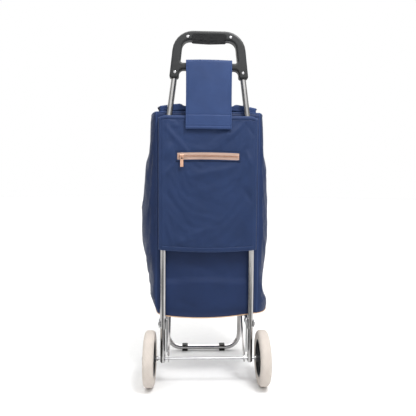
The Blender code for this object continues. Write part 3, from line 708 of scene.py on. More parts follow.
def soft_curve(pairs, z):
    """A smooth value from (z, value) pairs."""
    zs = np.array([p[0] for p in pairs])
    vs = np.array([p[1] for p in pairs])
    fine = np.linspace(zs[0], zs[-1], 400)
    raw = np.interp(fine, zs, vs)
    kernel = np.exp(-0.5 * (np.arange(-24, 25) / 9.0) ** 2)
    kernel /= kernel.sum()
    padded = np.pad(raw, 24, mode="edge")
    return np.interp(z, fine, np.convolve(padded, kernel, mode="valid"))


def base_height(x, y):
    """The bottom seam's height: lowest in the middle, lifted at both corners and most at the left one."""
    sag = 0.0105 * np.clip(np.abs(x) / 0.128, 0, 1) ** 2 + 0.009 * smooth_step((-0.116 - x) / 0.03)
    flatter_in_front = 1 - 0.55 * smooth_step((y - 0.02) / 0.12)
    return BASE + BOTTOM_LIFT + sag * flatter_in_front + 0.0025 * np.clip(x / 0.15, -1, 1)


def bag_ring(z_share):
    """One level of the bag as a closed loop: the back from its left, right side, front, left side."""
    z_mean = BASE + BOTTOM_LIFT + (RIM + 0.001 - BASE - BOTTOM_LIFT) * z_share
    wr, wl = soft_curve(RIGHT_OUTLINE, z_mean), soft_curve(LEFT_OUTLINE, z_mean)
    back_r, back_l = min(BACK_HALF, wr - 0.008), min(BACK_HALF, wl - 0.008)
    yb = BACK + 0.0012
    front_y = FRONT - 0.004 * np.sin(np.pi * z_share)
    points = [(-back_l + (back_l + back_r) * k / COLUMNS_BACK, yb) for k in range(COLUMNS_BACK)]
    points += side_points(wr, back_r, yb, front_y, 1)
    corner_r, corner_l = wr - 0.02, wl - 0.02
    for k in range(COLUMNS_FRONT):
        s = 1 - 2 * k / COLUMNS_FRONT
        edge = corner_r if s > 0 else corner_l
        points.append((edge * s, front_y + 0.0125 * (1 - s * s)))
    points += side_points(wl, back_l, yb, front_y, -1)[::-1]
    points = np.array(points)
    loop = np.zeros((len(points), 3))
    loop[:, :2] = points
    bottom = base_height(points[:, 0], points[:, 1])
    corner_drop = 0.004 * smooth_step((np.abs(points[:, 0]) - 0.135) / 0.03)
    top = RIM + 0.0005 + 0.0015 * np.cos(points[:, 0] * 9) - corner_drop
    loop[:, 2] = bottom + (top - bottom) * z_share
    return loop


def side_points(width, back_half, yb, front_y, side):
    """The gusset from the back seam to the front seam, in COLUMNS_SIDE points. side: 1 right, -1 left."""
    out = []
    p0, p3 = (back_half, yb), (width - 0.02, front_y)
    p1, p2 = (width + 0.007, yb + 0.012), (width + 0.011, front_y - 0.05)
    for k in range(COLUMNS_SIDE):
        t = k / COLUMNS_SIDE
        a, b, c, d = (1 - t) ** 3, 3 * t * (1 - t) ** 2, 3 * t * t * (1 - t), t**3
        x, y = (p0[n] * a + p1[n] * b + p2[n] * c + p3[n] * d for n in (0, 1))
        out.append((side * x, y))
    if side < 0:
        out = out[1:] + [(side * p3[0], p3[1])]
    return out


SIDE_CREASES = [
    (0.03, 0.694, 0.19, 0.594, 0.016, -0.006),
    (0.02, 0.554, 0.12, 0.654, 0.014, 0.0053),
    (0.06, 0.294, 0.19, 0.414, 0.02, -0.0075),
    (0.02, 0.414, 0.1, 0.244, 0.014, 0.0067),
    (0.05, 0.514, 0.16, 0.464, 0.018, 0.0045),
    (0.12, 0.244, 0.2, 0.324, 0.012, 0.0053),
    (0.015, 0.324, 0.06, 0.209, 0.008, -0.006),
    (0.09, 0.214, 0.2, 0.244, 0.01, -0.0045),
]
FRONT_CREASES = [
    (-0.12, 0.634, 0.06, 0.554, 0.02, -0.0042),
    (0.13, 0.594, -0.02, 0.474, 0.022, 0.0042),
    (-0.11, 0.394, 0.08, 0.314, 0.024, -0.0049),
    (-0.14, 0.294, -0.04, 0.214, 0.014, 0.0049),
    (0.14, 0.304, 0.05, 0.224, 0.014, 0.0049),
    (-0.06, 0.514, 0.04, 0.454, 0.015, 0.0031),
    (-0.1, 0.264, 0.11, 0.256, 0.009, -0.0036),
]
BACK_CREASES = [
    (-0.128, 0.2835, 0.128, 0.2835, 0.003, 0.0026),
    (-0.1, 0.354, 0.06, 0.294, 0.02, -0.003),
    (-0.09, 0.234, 0.000, 0.199, 0.012, -0.0026),
    (0.04, 0.244, 0.12, 0.209, 0.012, 0.0026),
    (-0.125, 0.264, -0.08, 0.209, 0.008, 0.0022),
]


def bag_grid():
    return np.stack([bag_ring(share) for share in np.linspace(0, 1, BAG_ROWS)])


def crease_bag(grid):
    """Soft creases pushed along each panel's outward direction, quiet at the seams."""
    rows, columns = grid.shape[:2]
    b, s, f = COLUMNS_BACK, COLUMNS_SIDE, COLUMNS_FRONT
    x, y, z = grid[..., 0], grid[..., 1], grid[..., 2]
    share = np.linspace(0, 1, rows)[:, None] * np.ones((1, columns))
    calm = smooth_step(share / 0.05) * smooth_step((1 - share) / 0.05)
    push = np.zeros_like(x)
    back = slice(0, b + 1)
    push[:, back] = folds(x[:, back], z[:, back], BACK_CREASES)
    push[:, back] += 0.0046 * smooth_step((0.2885 - z[:, back]) / 0.011)
    right, left = slice(b, b + s + 1), slice(b + s + f, columns)
    push[:, right] = folds(y[:, right], z[:, right], SIDE_CREASES) * 0.62
    push[:, left] = folds(y[:, left] - 0.004, z[:, left] + 0.012, SIDE_CREASES) * 0.66
    front = slice(b + s, b + s + f + 1)
    push[:, front] = folds(x[:, front], z[:, front], FRONT_CREASES)
    seam = np.ones(columns)
    for place in (0, b, b + s, b + s + f):
        away = np.minimum(np.abs(np.arange(columns) - place), columns - np.abs(np.arange(columns) - place))
        seam *= smooth_step(away / 3.0)
    rough = fine_noise(x.ravel(), y.ravel(), z.ravel(), 17).reshape(x.shape) * 0.0016
    rough += fine_noise(x.ravel(), y.ravel(), z.ravel() + 3, 42).reshape(x.shape) * 0.0009
    back_calm = np.ones(columns)
    back_calm[: b + 1] = 0.6
    push = (push + rough * back_calm) * calm * seam
    around = np.roll(grid, -1, 1) - np.roll(grid, 1, 1)
    out = np.stack([around[..., 1], -around[..., 0], np.zeros_like(x)], 2)
    out /= np.maximum(np.linalg.norm(out, axis=2, keepdims=True), 1e-9)
    return grid + out * push[..., None]


FLOOR_MIDDLE, FLOOR_Z = 0.115, BASE + 0.0032


def make_bag():
    """The bag's four walls and floor as one cloth, open at the top."""
    b, s, f = COLUMNS_BACK, COLUMNS_SIDE, COLUMNS_FRONT
    grid = crease_bag(bag_grid())
    rows, columns = grid.shape[:2]
    grid[..., 1] = np.maximum(grid[..., 1], BACK_LIMIT)
    wall = grid.reshape(-1, 3) + np.array([0, TUBE_Y, 0])
    verts, faces = [tuple(v) for v in wall], [tuple(f[::-1]) for f in grid_faces(rows, columns, True)]
    uv_u = np.concatenate([[0], np.cumsum(np.linalg.norm(np.diff(grid[rows // 2], axis=0), axis=1))])
    uvs = [(uv_u[c], grid[r, c, 2]) for r in range(rows) for c in range(columns)]
    ring = grid[0]
    centre = np.array([0.0, FLOOR_MIDDLE, 0.0])
    previous = list(range(columns))
    for share in (0.985, 0.8, 0.55, 0.28):
        start = len(verts)
        for c in range(columns):
            p = centre + (ring[c] - centre) * share
            uneven = 0.0006 * noise.noise(Vector((p[0] * 30, p[1] * 30, 5)))
            verts.append((p[0], TUBE_Y + p[1], ring[c, 2] * share + FLOOR_Z * (1 - share) + uneven))
            uvs.append((p[0], p[1]))
        now = list(range(start, start + columns))
        for c in range(columns):
            d = (c + 1) % columns
            faces.append((previous[c], previous[d], now[d], now[c]))
        previous = now
    verts.append((0, TUBE_Y + FLOOR_MIDDLE, FLOOR_Z))
    uvs.append((0, FLOOR_MIDDLE))
    for c in range(columns):
        faces.append((previous[c], previous[(c + 1) % columns], len(verts) - 1))
    bag = new_mesh("bag_shell", verts, faces, uvs)
    wall_share = np.repeat(np.linspace(0, 1, rows), columns)
    hold = np.ones(len(verts))
    column = np.tile(np.arange(columns), rows)
    to_seam = np.full(columns, 99.0)
    for place in (0, b, b + s, b + s + f, columns):
        to_seam = np.minimum(to_seam, np.abs(np.arange(columns) - place))
    free = smooth_step(to_seam / 5.0)[column]
    free = free * smooth_step(wall_share / 0.08) * smooth_step((1 - wall_share) / 0.08)
    on_back = (column > 0) & (column < b)
    hold[: rows * columns] = 1 - 0.97 * np.where(on_back, free * 0.25, free)
    settle(bag, hold, frames=16, grow=0.012, gravity=1.0, cap=0.007, bend=0.25)
    moved = points_of(bag)
    moved[:, 1] = np.maximum(moved[:, 1], TUBE_Y + BACK_LIMIT)
    moved[:, 2] = np.maximum(moved[:, 2], BASE + 0.0012)
    set_points(bag, moved)
    seam_wear = 1 - smooth_step(to_seam / 1.6)[column]
    worn = np.zeros(len(verts))
    worn[: rows * columns] = np.maximum(seam_wear * 0.55, 0.8 * (1 - smooth_step(wall_share / 0.03)))
    set_wear(bag, worn)
    thicken(bag, BAG_CLOTH)
    walls = ("bag_back", "bag_front", "bag_side_left", "bag_side_right", "bag_bottom")
    put(bag, SHELL, "frame", "bag_fabric", *walls)
    shell = moved[: rows * columns].reshape(rows, columns, 3)
    return bag, shell


def outward(point):
    """The direction straight out of the bag's wall at a point."""
    flat = Vector((point.x, point.y - (TUBE_Y + 0.11), 0))
    if point.y < TUBE_Y + BACK + 0.006 and abs(point.x) < 0.131:
        return Vector((0, -1, 0))
    if point.y > TUBE_Y + FRONT - 0.006 and abs(point.x) < 0.14:
        return Vector((0, 1, 0))
    return flat.normalized()


def dress_bag(shell):
    """Piping, corner seams, rim binding and stitches on the bag."""
    b, s, f = COLUMNS_BACK, COLUMNS_SIDE, COLUMNS_FRONT
    rows, columns = shell.shape[:2]
    made = []
    base = [Vector(p) + outward(Vector(p)) * 0.001 - Vector((0, 0, 0.0006)) for p in shell[0]]
    piping = tube_along("base_piping", base, PIPING_R, closed=True)
    made.append(put(piping, TAN, "frame", "piping", "bag_piping"))
    seams = [lifted(shell[:, column], outward, 0.0004) for column in (0, b, b + s, b + s + f)]
    corner = cords("corner_seams", seams, SEAM_R)
    even_wear(corner, 0.35)
    made.append(put(corner, STRAP, "frame", "bag_fabric"))
    rim = tube_along("rim_binding", [Vector(p) for p in shell[-1]], RIM_R, closed=True)
    even_wear(rim, 0.3)
    made.append(put(rim, STRAP, "frame", "bag_fabric"))
    lines = []
    for row in (3, rows - 3):
        ring = lifted(shell[row], outward)
        lines.append(ring + ring[:1])
    for column, side in ((0, 1), (b, -1), (b + s, -1), (b + s, 1), (b + s + f, -1), (b + s + f, 1)):
        a, c = shell[:, column], shell[:, (column + side) % columns]
        step = np.linalg.norm(c - a, axis=1, keepdims=True)
        inner = a + (c - a) / step * 0.0045
        lines.append(lifted(inner, outward))
    thread = stitches("bag_stitches", lines, outward)
    made.append(put(thread, THREAD, "frame", "bag_fabric"))
    return made


# ---- the sleeve over the tubes ---------------------------------------------
SLEEVE_CREASES = [
    (-0.118, 0.7, -0.06, 0.64, 0.006, 0.0022),
    (-0.085, 0.605, -0.122, 0.56, 0.007, 0.003),
    (0.094, 0.71, 0.122, 0.67, 0.005, -0.0024),
    (0.098, 0.635, 0.116, 0.59, 0.006, 0.003),
    (-0.02, 0.406, -0.1, 0.385, 0.006, 0.0022),
    (-0.118, 0.53, -0.07, 0.47, 0.008, -0.002),
    (0.055, 0.712, -0.012, 0.649, 0.009, -0.0041),
    (0.085, 0.699, 0.05, 0.662, 0.008, 0.0032),
    (-0.112, 0.694, -0.07, 0.698, 0.0035, 0.0019),
    (-0.095, 0.654, -0.116, 0.609, 0.008, 0.0035),
    (0.108, 0.619, 0.08, 0.554, 0.009, 0.0035),
    (0.09, 0.544, 0.118, 0.494, 0.008, -0.003),
    (-0.06, 0.564, 0.08, 0.594, 0.014, 0.0022),
    (0.01, 0.434, -0.085, 0.392, 0.01, 0.0032),
    (-0.03, 0.514, 0.045, 0.464, 0.016, -0.0027),
    (0.1, 0.464, 0.085, 0.389, 0.009, -0.0024),
    (-0.11, 0.454, -0.095, 0.389, 0.007, 0.0022),
    (0.03, 0.639, 0.062, 0.704, 0.007, 0.0022),
]


TOP_STITCH, LOW_STITCH, SIDE_STITCH = 0.0085, 0.011, 0.0115


def make_sleeve():
    half, turn, wing = SLEEVE_W, 0.012, 0.0165
    total = 2 * (half - 0.008) + 2 * (turn + wing)
    height = SLEEVE_TOP - SLEEVE_LOW - 0.003
    side_line = wing + turn + 0.0075 - SIDE_STITCH + 0.0003
    ways = spaced(total, 0.0034, (side_line, total - side_line))
    shares = spaced(height, 0.0042, (LOW_STITCH, height - TOP_STITCH)) / height
    rows, columns = len(shares), len(ways)
    points = np.zeros((rows, columns, 3))
    for c, d in enumerate(ways):
        side = -1
        if d > total / 2:
            side, d = 1, total - d
        if d < wing:
            x, y = side * (half + 0.0008), BACK - 0.0022 - d
        elif d < wing + turn:
            a = (d - wing) / turn * math.pi / 2
            x = side * (half + 0.0008 - 0.008 * (1 - math.cos(a)))
            y = BACK - 0.0022 - wing - 0.0076 * math.sin(a)
        else:
            x, y = side * (half + 0.0008 - 0.008 - (d - wing - turn)), SLEEVE_Y
        bottom = SLEEVE_LOW + 0.003 - 0.0066 * max(0.0, 1 - (x / half) ** 2)
        points[:, c, 0], points[:, c, 1] = x, max(y, SLEEVE_Y)
        corner = 0.005 * float(smooth_step((abs(x) - half + 0.016) / 0.016))
        points[:, c, 2] = bottom + (SLEEVE_TOP + 0.0002 - bottom) * shares - corner * shares**12
    x, z = points[..., 0], points[..., 2]
    face = smooth_step((half - 0.004 - np.abs(x)) / 0.006)
    push = folds(x, z, SLEEVE_CREASES)
    share = shares[:, None]
    hem = smooth_step(share / 0.03) * smooth_step((1 - share) / 0.03)
    push = push * (0.35 + 0.65 * hem)
    push += fine_noise(x.ravel(), z.ravel(), z.ravel() * 0 + 4, 16).reshape(x.shape) * 0.0012
    push += fine_noise(x.ravel(), z.ravel(), z.ravel() * 0 + 9, 48).reshape(x.shape) * 0.0004
    push += hem_relief(share * height, LOW_STITCH) + hem_relief((1 - share) * height, TOP_STITCH)
    push += hem_relief(half - np.abs(x), SIDE_STITCH)
    push += np.exp(-(((np.abs(x) - tube_line(z)) / 0.0085) ** 2)) * 0.0012
    push -= 0.0016 * smooth_step((tube_line(z) - 0.01 - np.abs(x)) / 0.03)
    points[..., 1] += TUBE_Y - push * face
    obj = cloth_sheet("back_sleeve_panel", points, SLEEVE_CLOTH, 1.0, wear=sleeve_wear(x, z, share))
    calm = smooth_step((half - SIDE_STITCH - 0.003 - np.abs(x)) / 0.012)
    settle(obj, 1 - 0.87 * (calm * hem).ravel(), frames=14, grow=0.003, gravity=0.06, cap=0.0012, bend=0.8)
    moved = points_of(obj)
    clear = np.abs(moved[:, 0]) < SLEEVE_W - 0.006
    moved[:, 1] = np.where(clear, np.minimum(moved[:, 1], TUBE_Y - 0.0096), moved[:, 1])
    set_points(obj, moved)
    put(obj, PANEL, "frame", "bag_fabric", "back_sleeve")
    return moved.reshape(rows, columns, 3)


def tube_line(z):
    """The tubes' distance from the middle at a height."""
    return 0.118 - 0.13 * np.maximum(0.0, z - 0.606)


def sleeve_wear(x, z, share):
    edge = np.maximum(1 - smooth_step(share / 0.012), (1 - smooth_step((1 - share) / 0.02)) * 0.8)
    side = np.exp(-(((np.abs(x) - SLEEVE_W) / 0.003) ** 2)) * 0.45
    tube = np.exp(-(((np.abs(x) - tube_line(z)) / 0.006) ** 2)) * 0.1
    return np.maximum(np.maximum(edge * np.ones_like(x), side), tube)


def surface_line(grid, start, end, count, lift):
    """Points on a sleeve-like grid from (x, z) start to end, lifted towards -Y."""
    front = grid.reshape(-1, 3)
    out = []
    for t in np.linspace(0, 1, count):
        x, z = start[0] + (end[0] - start[0]) * t, start[1] + (end[1] - start[1]) * t
        d = (front[:, 0] - x) ** 2 + (front[:, 2] - z) ** 2
        near = np.argsort(d)[:4]
        w = 1 / (d[near] + 1e-9)
        y = float((front[near, 1] * w).sum() / w.sum())
        out.append(Vector((x, y - lift, z)))
    return out


def front_side(_):
    return Vector((0, -1, 0))


def dress_sleeve(grid):
    """The sleeve's hems, side seams and stitch rows."""
    w = SLEEVE_W
    z_high, z_low = SLEEVE_TOP - TOP_STITCH, SLEEVE_LOW + 0.0008 + LOW_STITCH
    lines = [
        surface_line(grid, (-w + 0.002, z_high), (w - 0.002, z_high), 60, 0.0004),
        surface_line(grid, (-w + 0.004, z_low), (w - 0.004, z_low), 60, 0.0004),
    ]
    for side in (-1, 1):
        x = side * (w - SIDE_STITCH)
        lines.append(surface_line(grid, (x, SLEEVE_LOW + 0.006), (x, SLEEVE_TOP - 0.006), 90, 0.0004))
    thread = stitches("sleeve_stitches", lines, front_side)
    put(thread, THREAD, "frame", "bag_fabric")
    roll = cords("sleeve_hems", [grid[0], grid[-1]], HEM_R)
    even_wear(roll, 0.5)
    put(roll, STRAP, "frame", "bag_fabric")
    sides = [grid[:, column] + np.array([out, 0, 0]) for column, out in ((0, -0.0004), (-1, 0.0004))]
    edge = cords("sleeve_side_seams", sides, SEAM_R)
    even_wear(edge, 0.35)
    put(edge, STRAP, "frame", "bag_fabric")


# ---- the strap -------------------------------------------------------------
STRAP_LINES, STRAP_BEND = (0.0078, 0.0362), 0.0062


def strap_flap_grid():
    """The flap, from the top of the crossbar over its edge and down to its stitched end."""
    outer, top = -STRAP_Y, STRAP_TOP + 0.0008
    path = [(-0.0035, top)]
    for k in range(9):
        a = math.pi / 2 * k / 8
        path.append((-(outer - STRAP_BEND) - STRAP_BEND * math.sin(a), top - STRAP_BEND * (1 - math.cos(a))))
    drop = path[9][1] - STRAP_END
    path += [(-outer, STRAP_END + up) for up in spaced(drop, 0.004, STRAP_LINES)[::-1][1:]]
    ways = spaced(2 * STRAP_W, 0.0034, (0.0042, 2 * STRAP_W - 0.0042), 0.003) / STRAP_W - 1
    points = np.zeros((len(path), len(ways), 3))
    for r, (y, z) in enumerate(path):
        up = z - STRAP_END
        share = max(0.0, 1 - up / drop)
        relief = hem_relief(up, STRAP_LINES[1], 0.0009, 0.0009)
        relief += hem_relief(up, STRAP_LINES[0], 0.0002, 0.0009)
        for c, s in enumerate(ways):
            width = STRAP_W - 0.0006 * math.sin(math.pi * share) + 0.0004 * share
            bow = 0.0013 * math.sin(math.pi * share) * (1 - s * s)
            wave = 0.0011 * noise.noise(Vector((s * 2.2, z * 14, 2.0))) * share
            side_hem = hem_relief(STRAP_W * (1 - abs(s)), 0.0042, 0.0004, 0.0007) if share > 0.06 else 0
            crown = 0.0014 * (1 - s * s) if share == 0 else 0
            out = bow + wave + (relief + side_hem) * (share > 0)
            points[r, c] = (s * width, TUBE_Y + y - out, z + crown - 0.0006 * share * s * s)
    return points


def make_strap():
    grid = strap_flap_grid()
    rows, columns = grid.shape[:2]
    share = np.linspace(0, 1, rows)[:, None] * np.ones((1, columns))
    s = np.abs(np.linspace(-1, 1, columns))[None, :] * np.ones((rows, 1))
    wear = np.maximum(1 - smooth_step((1 - s) / 0.03), 1 - smooth_step((1 - share) / 0.015)) * 0.7
    wear = np.maximum(wear, np.exp(-(((share - 0.05) / 0.03) ** 2)) * 0.35)
    flap = cloth_sheet("strap_front", grid, FLAP_CLOTH, wear=wear)
    flap.data.materials.append(STRAP)
    bind_to_strap(flap)
    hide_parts("strap_flap")
    edge = STRAP_W - 0.0042
    z_low, z_high = STRAP_END + STRAP_LINES[0], STRAP_END + STRAP_LINES[1]

    def on_flap(x, z):
        r = int(np.argmin(np.abs(grid[:, columns // 2, 2] - z) + (np.arange(rows) < 9) * 1.0))
        c = int(np.argmin(np.abs(grid[r, :, 0] - x)))
        return Vector((x, grid[r, c, 1] - STITCH_LIFT, z))

    def run(x0, z0, x1, z1, count):
        return [on_flap(x0 + (x1 - x0) * t, z0 + (z1 - z0) * t) for t in np.linspace(0, 1, count)]

    lines = [
        run(-edge, z_high, edge, z_high, 30),
        run(-edge, z_low, edge, z_low, 30),
        run(-edge, z_low, -edge, STRAP_TOP - 0.012, 40),
        run(edge, z_low, edge, STRAP_TOP - 0.012, 40),
    ]
    thread = stitches("strap_stitches", lines, front_side)
    thread.data.materials.append(THREAD)
    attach(thread, "strap")
    fold = run(-STRAP_W + 0.001, z_high + 0.002, STRAP_W - 0.001, z_high + 0.002, 24)
    hem = tube_along("strap_end_fold", fold, 0.0008, 6)
    even_wear(hem, 0.35)
    put(hem, STRAP, "strap", "strap_fabric")
    return flap


def bind_to_strap(obj):
    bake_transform(obj)


def make_strap_tail():
    """The inner run: from the crossbar's top down behind it into the bag."""
    outer = high("strap_tail").y - TUBE_Y
    over = STRAP_TOP - 0.0012
    path = [(-0.005, over)]
    for k in range(9):
        a = math.pi / 2 * k / 8
        path.append((outer - STRAP_BEND + STRAP_BEND * math.sin(a), over - STRAP_BEND * (1 - math.cos(a))))
    bottom = low("strap_tail").z
    top = path[-1][1]
    for k in range(1, 40):
        path.append((outer, top + (bottom - top) * k / 39))
    columns = 26
    points = np.zeros((len(path), columns, 3))
    for r, (y, z) in enumerate(path):
        for c in range(columns):
            s = -1 + 2 * c / (columns - 1)
            free = max(0.0, min(1.0, (STRAP_TOP - 0.013 - z) / 0.03)) * max(0.0, min(1.0, (z - 0.754) / 0.03))
            wave = 0.0009 * noise.noise(Vector((s * 2.0, z * 16, 8.0))) * free
            points[r, c] = (s * (STRAP_W - 0.0004), TUBE_Y + y + wave, z)
    s = np.abs(np.linspace(-1, 1, columns))[None, :] * np.ones((len(path), 1))
    wear = (1 - smooth_step((1 - s) / 0.04)) * 0.6
    tail = cloth_sheet("strap_back", points, TAIL_CLOTH, flip=True, wear=wear)
    put(tail, STRAP, "frame", "strap_fabric", "strap_tail")
    edge = STRAP_W - 0.0045
    heights = np.linspace(0.754, STRAP_TOP - 0.014, 30)
    lines = [[at(x, outer + STITCH_LIFT, z) for z in heights] for x in (-edge, edge)]
    thread = stitches("strap_back_stitches", lines, lambda _: Vector((0, 1, 0)))
    put(thread, THREAD, "frame", "strap_fabric")


# ---- the lid ---------------------------------------------------------------
LID_RISER, LID_FOLD, LID_BEND, LID_RAISED = 0.0155, 0.003, 0.012, 0.0022
LID_REAR_HALF, LID_SPREAD, LID_COLUMNS = 0.1268, 0.0105, 56


def lid_grid():
    """The lid's outline in y and z, from its standing rear edge over the top to the front's lower edge."""
    back_y, top = low("bag_lid").y - TUBE_Y + 0.0004, LID_TOP - 0.004
    front = LID_FRONT + 0.0008
    path = [(back_y, top - LID_RISER + LID_RISER * k / 5) for k in range(5)]
    for k in range(5):
        a = math.pi / 2 * k / 4
        path.append((back_y + LID_FOLD * (1 - math.cos(a)), top + LID_RAISED * math.sin(a)))
    for k in range(1, 30):
        path.append((back_y + LID_FOLD + (front - LID_BEND - back_y - LID_FOLD) * k / 30, top + LID_RAISED))
    for k in range(9):
        a = math.pi / 2 * k / 8
        down = LID_BEND * (1 - math.cos(a))
        path.append((front - LID_BEND + LID_BEND * math.sin(a), top + LID_RAISED - down))
    z0 = path[-1][1]
    for k in range(1, 19):
        path.append((front, z0 + (LID_LOW + 0.002 - z0) * k / 18))
    return path, back_y, top


def make_lid():
    """The flap over the mouth: a standing rear edge, a slack top low under the strap, and a hanging front."""
    path, back_y, top = lid_grid()
    columns = LID_COLUMNS
    points = np.zeros((len(path), columns, 3))
    for r, (y, z) in enumerate(path):
        reach = min(1.0, max(0.0, (y - back_y) / 0.05))
        hang = max(0.0, (top - 0.01 - z) / (top - LID_LOW)) if y > 0.15 else 0.0
        end = max(0.0, (LID_LOW + 0.032 - z) / 0.032) if y > 0.15 else 0.0
        half = LID_REAR_HALF + LID_SPREAD * reach + 0.001 * hang - 0.02 * end * end
        for c in range(columns):
            s = -1 + 2 * c / (columns - 1)
            rise = 0.0105 * (1 - abs(s) ** 2.2) * (1 - reach) - 0.003 * (s > 0) * s * s * (1 - reach)
            lift = 0.0058 * (1 - s * s) * reach * (1 if hang == 0 else 1 - min(1.0, hang * 3))
            sag = 0.0042 * math.sin(math.pi * min(1.0, max(0.0, (y - 0.04) / 0.17))) * (1 - s * s)
            ripple = 0.0019 * noise.noise(Vector((s * 2.6, y * 15 + z * 9, 1.5))) * reach
            ripple += 0.0007 * noise.noise(Vector((s * 8.0, y * 44 + z * 20, 7.5))) * reach
            drop = rise + lift - sag + ripple * (hang == 0)
            bulge = 0.003 * (1 - s * s) * (hang > 0) + abs(ripple) * (hang > 0) + 0.0006 * (hang > 0)
            height = z - 0.0042 * (1 - reach) + drop
            under = float(smooth_step((STRAP_W + 0.016 - abs(half * s)) / 0.012))
            ceiling = top - 0.0012 + min(0.001, 0.085 * (y - back_y))
            points[r, c] = (half * s, TUBE_Y + y + bulge, height - under * max(0.0, height - ceiling))
    rows = len(path)
    share = np.linspace(0, 1, rows)[:, None] * np.ones((1, columns))
    s = np.abs(np.linspace(-1, 1, columns))[None, :] * np.ones((rows, 1))
    wear = np.maximum(1 - smooth_step((1 - s) / 0.02), 1 - smooth_step((1 - share) / 0.015)) * 0.7
    wear = np.maximum(wear, np.exp(-(((share - 0.12) / 0.015) ** 2)) * 0.6)
    lid = cloth_sheet("bag_flap", points, LID_CLOTH, flip=True, wear=wear)
    calm = smooth_step((share - 0.12) / 0.06) * smooth_step((0.74 - share) / 0.08)
    calm = calm * smooth_step((1 - s) / 0.12)
    settle(lid, (1 - 0.97 * calm).ravel(), frames=14, grow=0.01, gravity=1.0, cap=0.003, bend=0.35)
    put(lid, LINING, "lid", "bag_fabric", "bag_lid")
    grid = points_of(lid).reshape(rows, columns, 3)
    binding = cords("lid_binding", [grid[:, 0], grid[:, -1], grid[-1], grid[0]], LID_EDGE_R, 6)
    even_wear(binding, 0.4)
    put(binding, STRAP, "lid", "bag_fabric")
    lines = []
    for column in (3, -4):
        lines.append(lifted(grid[8:-3, column], lid_out))
    lines.append(lifted(grid[-4, 3:-3], lid_out))
    thread = stitches("lid_stitches", lines, lid_out)
    put(thread, THREAD, "lid", "bag_fabric")
    return [lid, binding, thread]


def make_hinge_band():
    """The strip of cloth between the bag's back rim and the lid's fold. It stays when the lid opens."""
    place, half = low("bag_lid").y + 0.0026, 0.1262
    heights, ways = np.linspace(RIM - 0.006, HINGE_Z - 0.0016, 9), np.linspace(-half, half, 60)
    points = np.zeros((len(heights), len(ways), 3))
    for r, z in enumerate(heights):
        for c, x in enumerate(ways):
            ripple = 0.0006 * noise.noise(Vector((x * 30, z * 40, 6.0)))
            points[r, c] = (x, place + ripple, z - 0.003 * (abs(x) / half) ** 3)
    band = cloth_sheet("lid_hinge_band", points, BAND_CLOTH, flip=True)
    return put(band, LINING, "frame", "bag_fabric")


def lid_out(point):
    """Out of the lid: forwards on its hanging front, else up."""
    return Vector((0, 1, 0)) if point.z < LID_TOP - 0.016 else Vector((0, 0, 1))


# ---- hook-and-loop patches -------------------------------------------------
def make_patch(node, name, facing, body, flatten=False):
    """A pile pad with a rounded, uneven face, a little smaller than its solid."""
    lo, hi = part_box(node)
    columns, rows = 44, 14
    base = hi.y if facing < 0 else lo.y
    deep = hi.y - lo.y
    verts = np.zeros((rows, columns, 3))
    for r in range(rows):
        for c in range(columns):
            u, v = c / (columns - 1), r / (rows - 1)
            edge = min(u, 1 - u) * (hi.x - lo.x), min(v, 1 - v) * (hi.z - lo.z)
            crown = min(1.0, min(edge) / 0.0018) ** 0.5
            hair = 0.12 * noise.noise(Vector((u * 60, v * 20, hi.y * 50)))
            out = facing * deep * (0.15 + (0.62 + hair) * crown)
            verts[r, c] = (lo.x + u * (hi.x - lo.x), base + out, lo.z + v * (hi.z - lo.z))
    faces = grid_faces(rows, columns)[:, :: (1 if facing < 0 else -1)]
    obj = new_mesh(name, verts.reshape(-1, 3), faces, grid_uv(verts))
    thicken(obj, deep * 0.3)
    put(obj, PILE, body, "hook_and_loop", node)
    if flatten:
        flatten_with_foot(obj)
    return obj


# ---- the zip ---------------------------------------------------------------
TAPE_HEIGHT, WELT_OUT, TOOTH_PITCH = 0.019, 0.0103, 0.00135


def zip_arch(x):
    """How far the zip bows up at x."""
    return 0.0016 * (1 - (x / ZIP_HALF) ** 2) - 0.0004


def along_zip(half, count, y, up):
    """A line beside the zip, bowed with it."""
    return [(x, y, ZIP_Z + zip_arch(x) + up) for x in np.linspace(-half, half, count)]


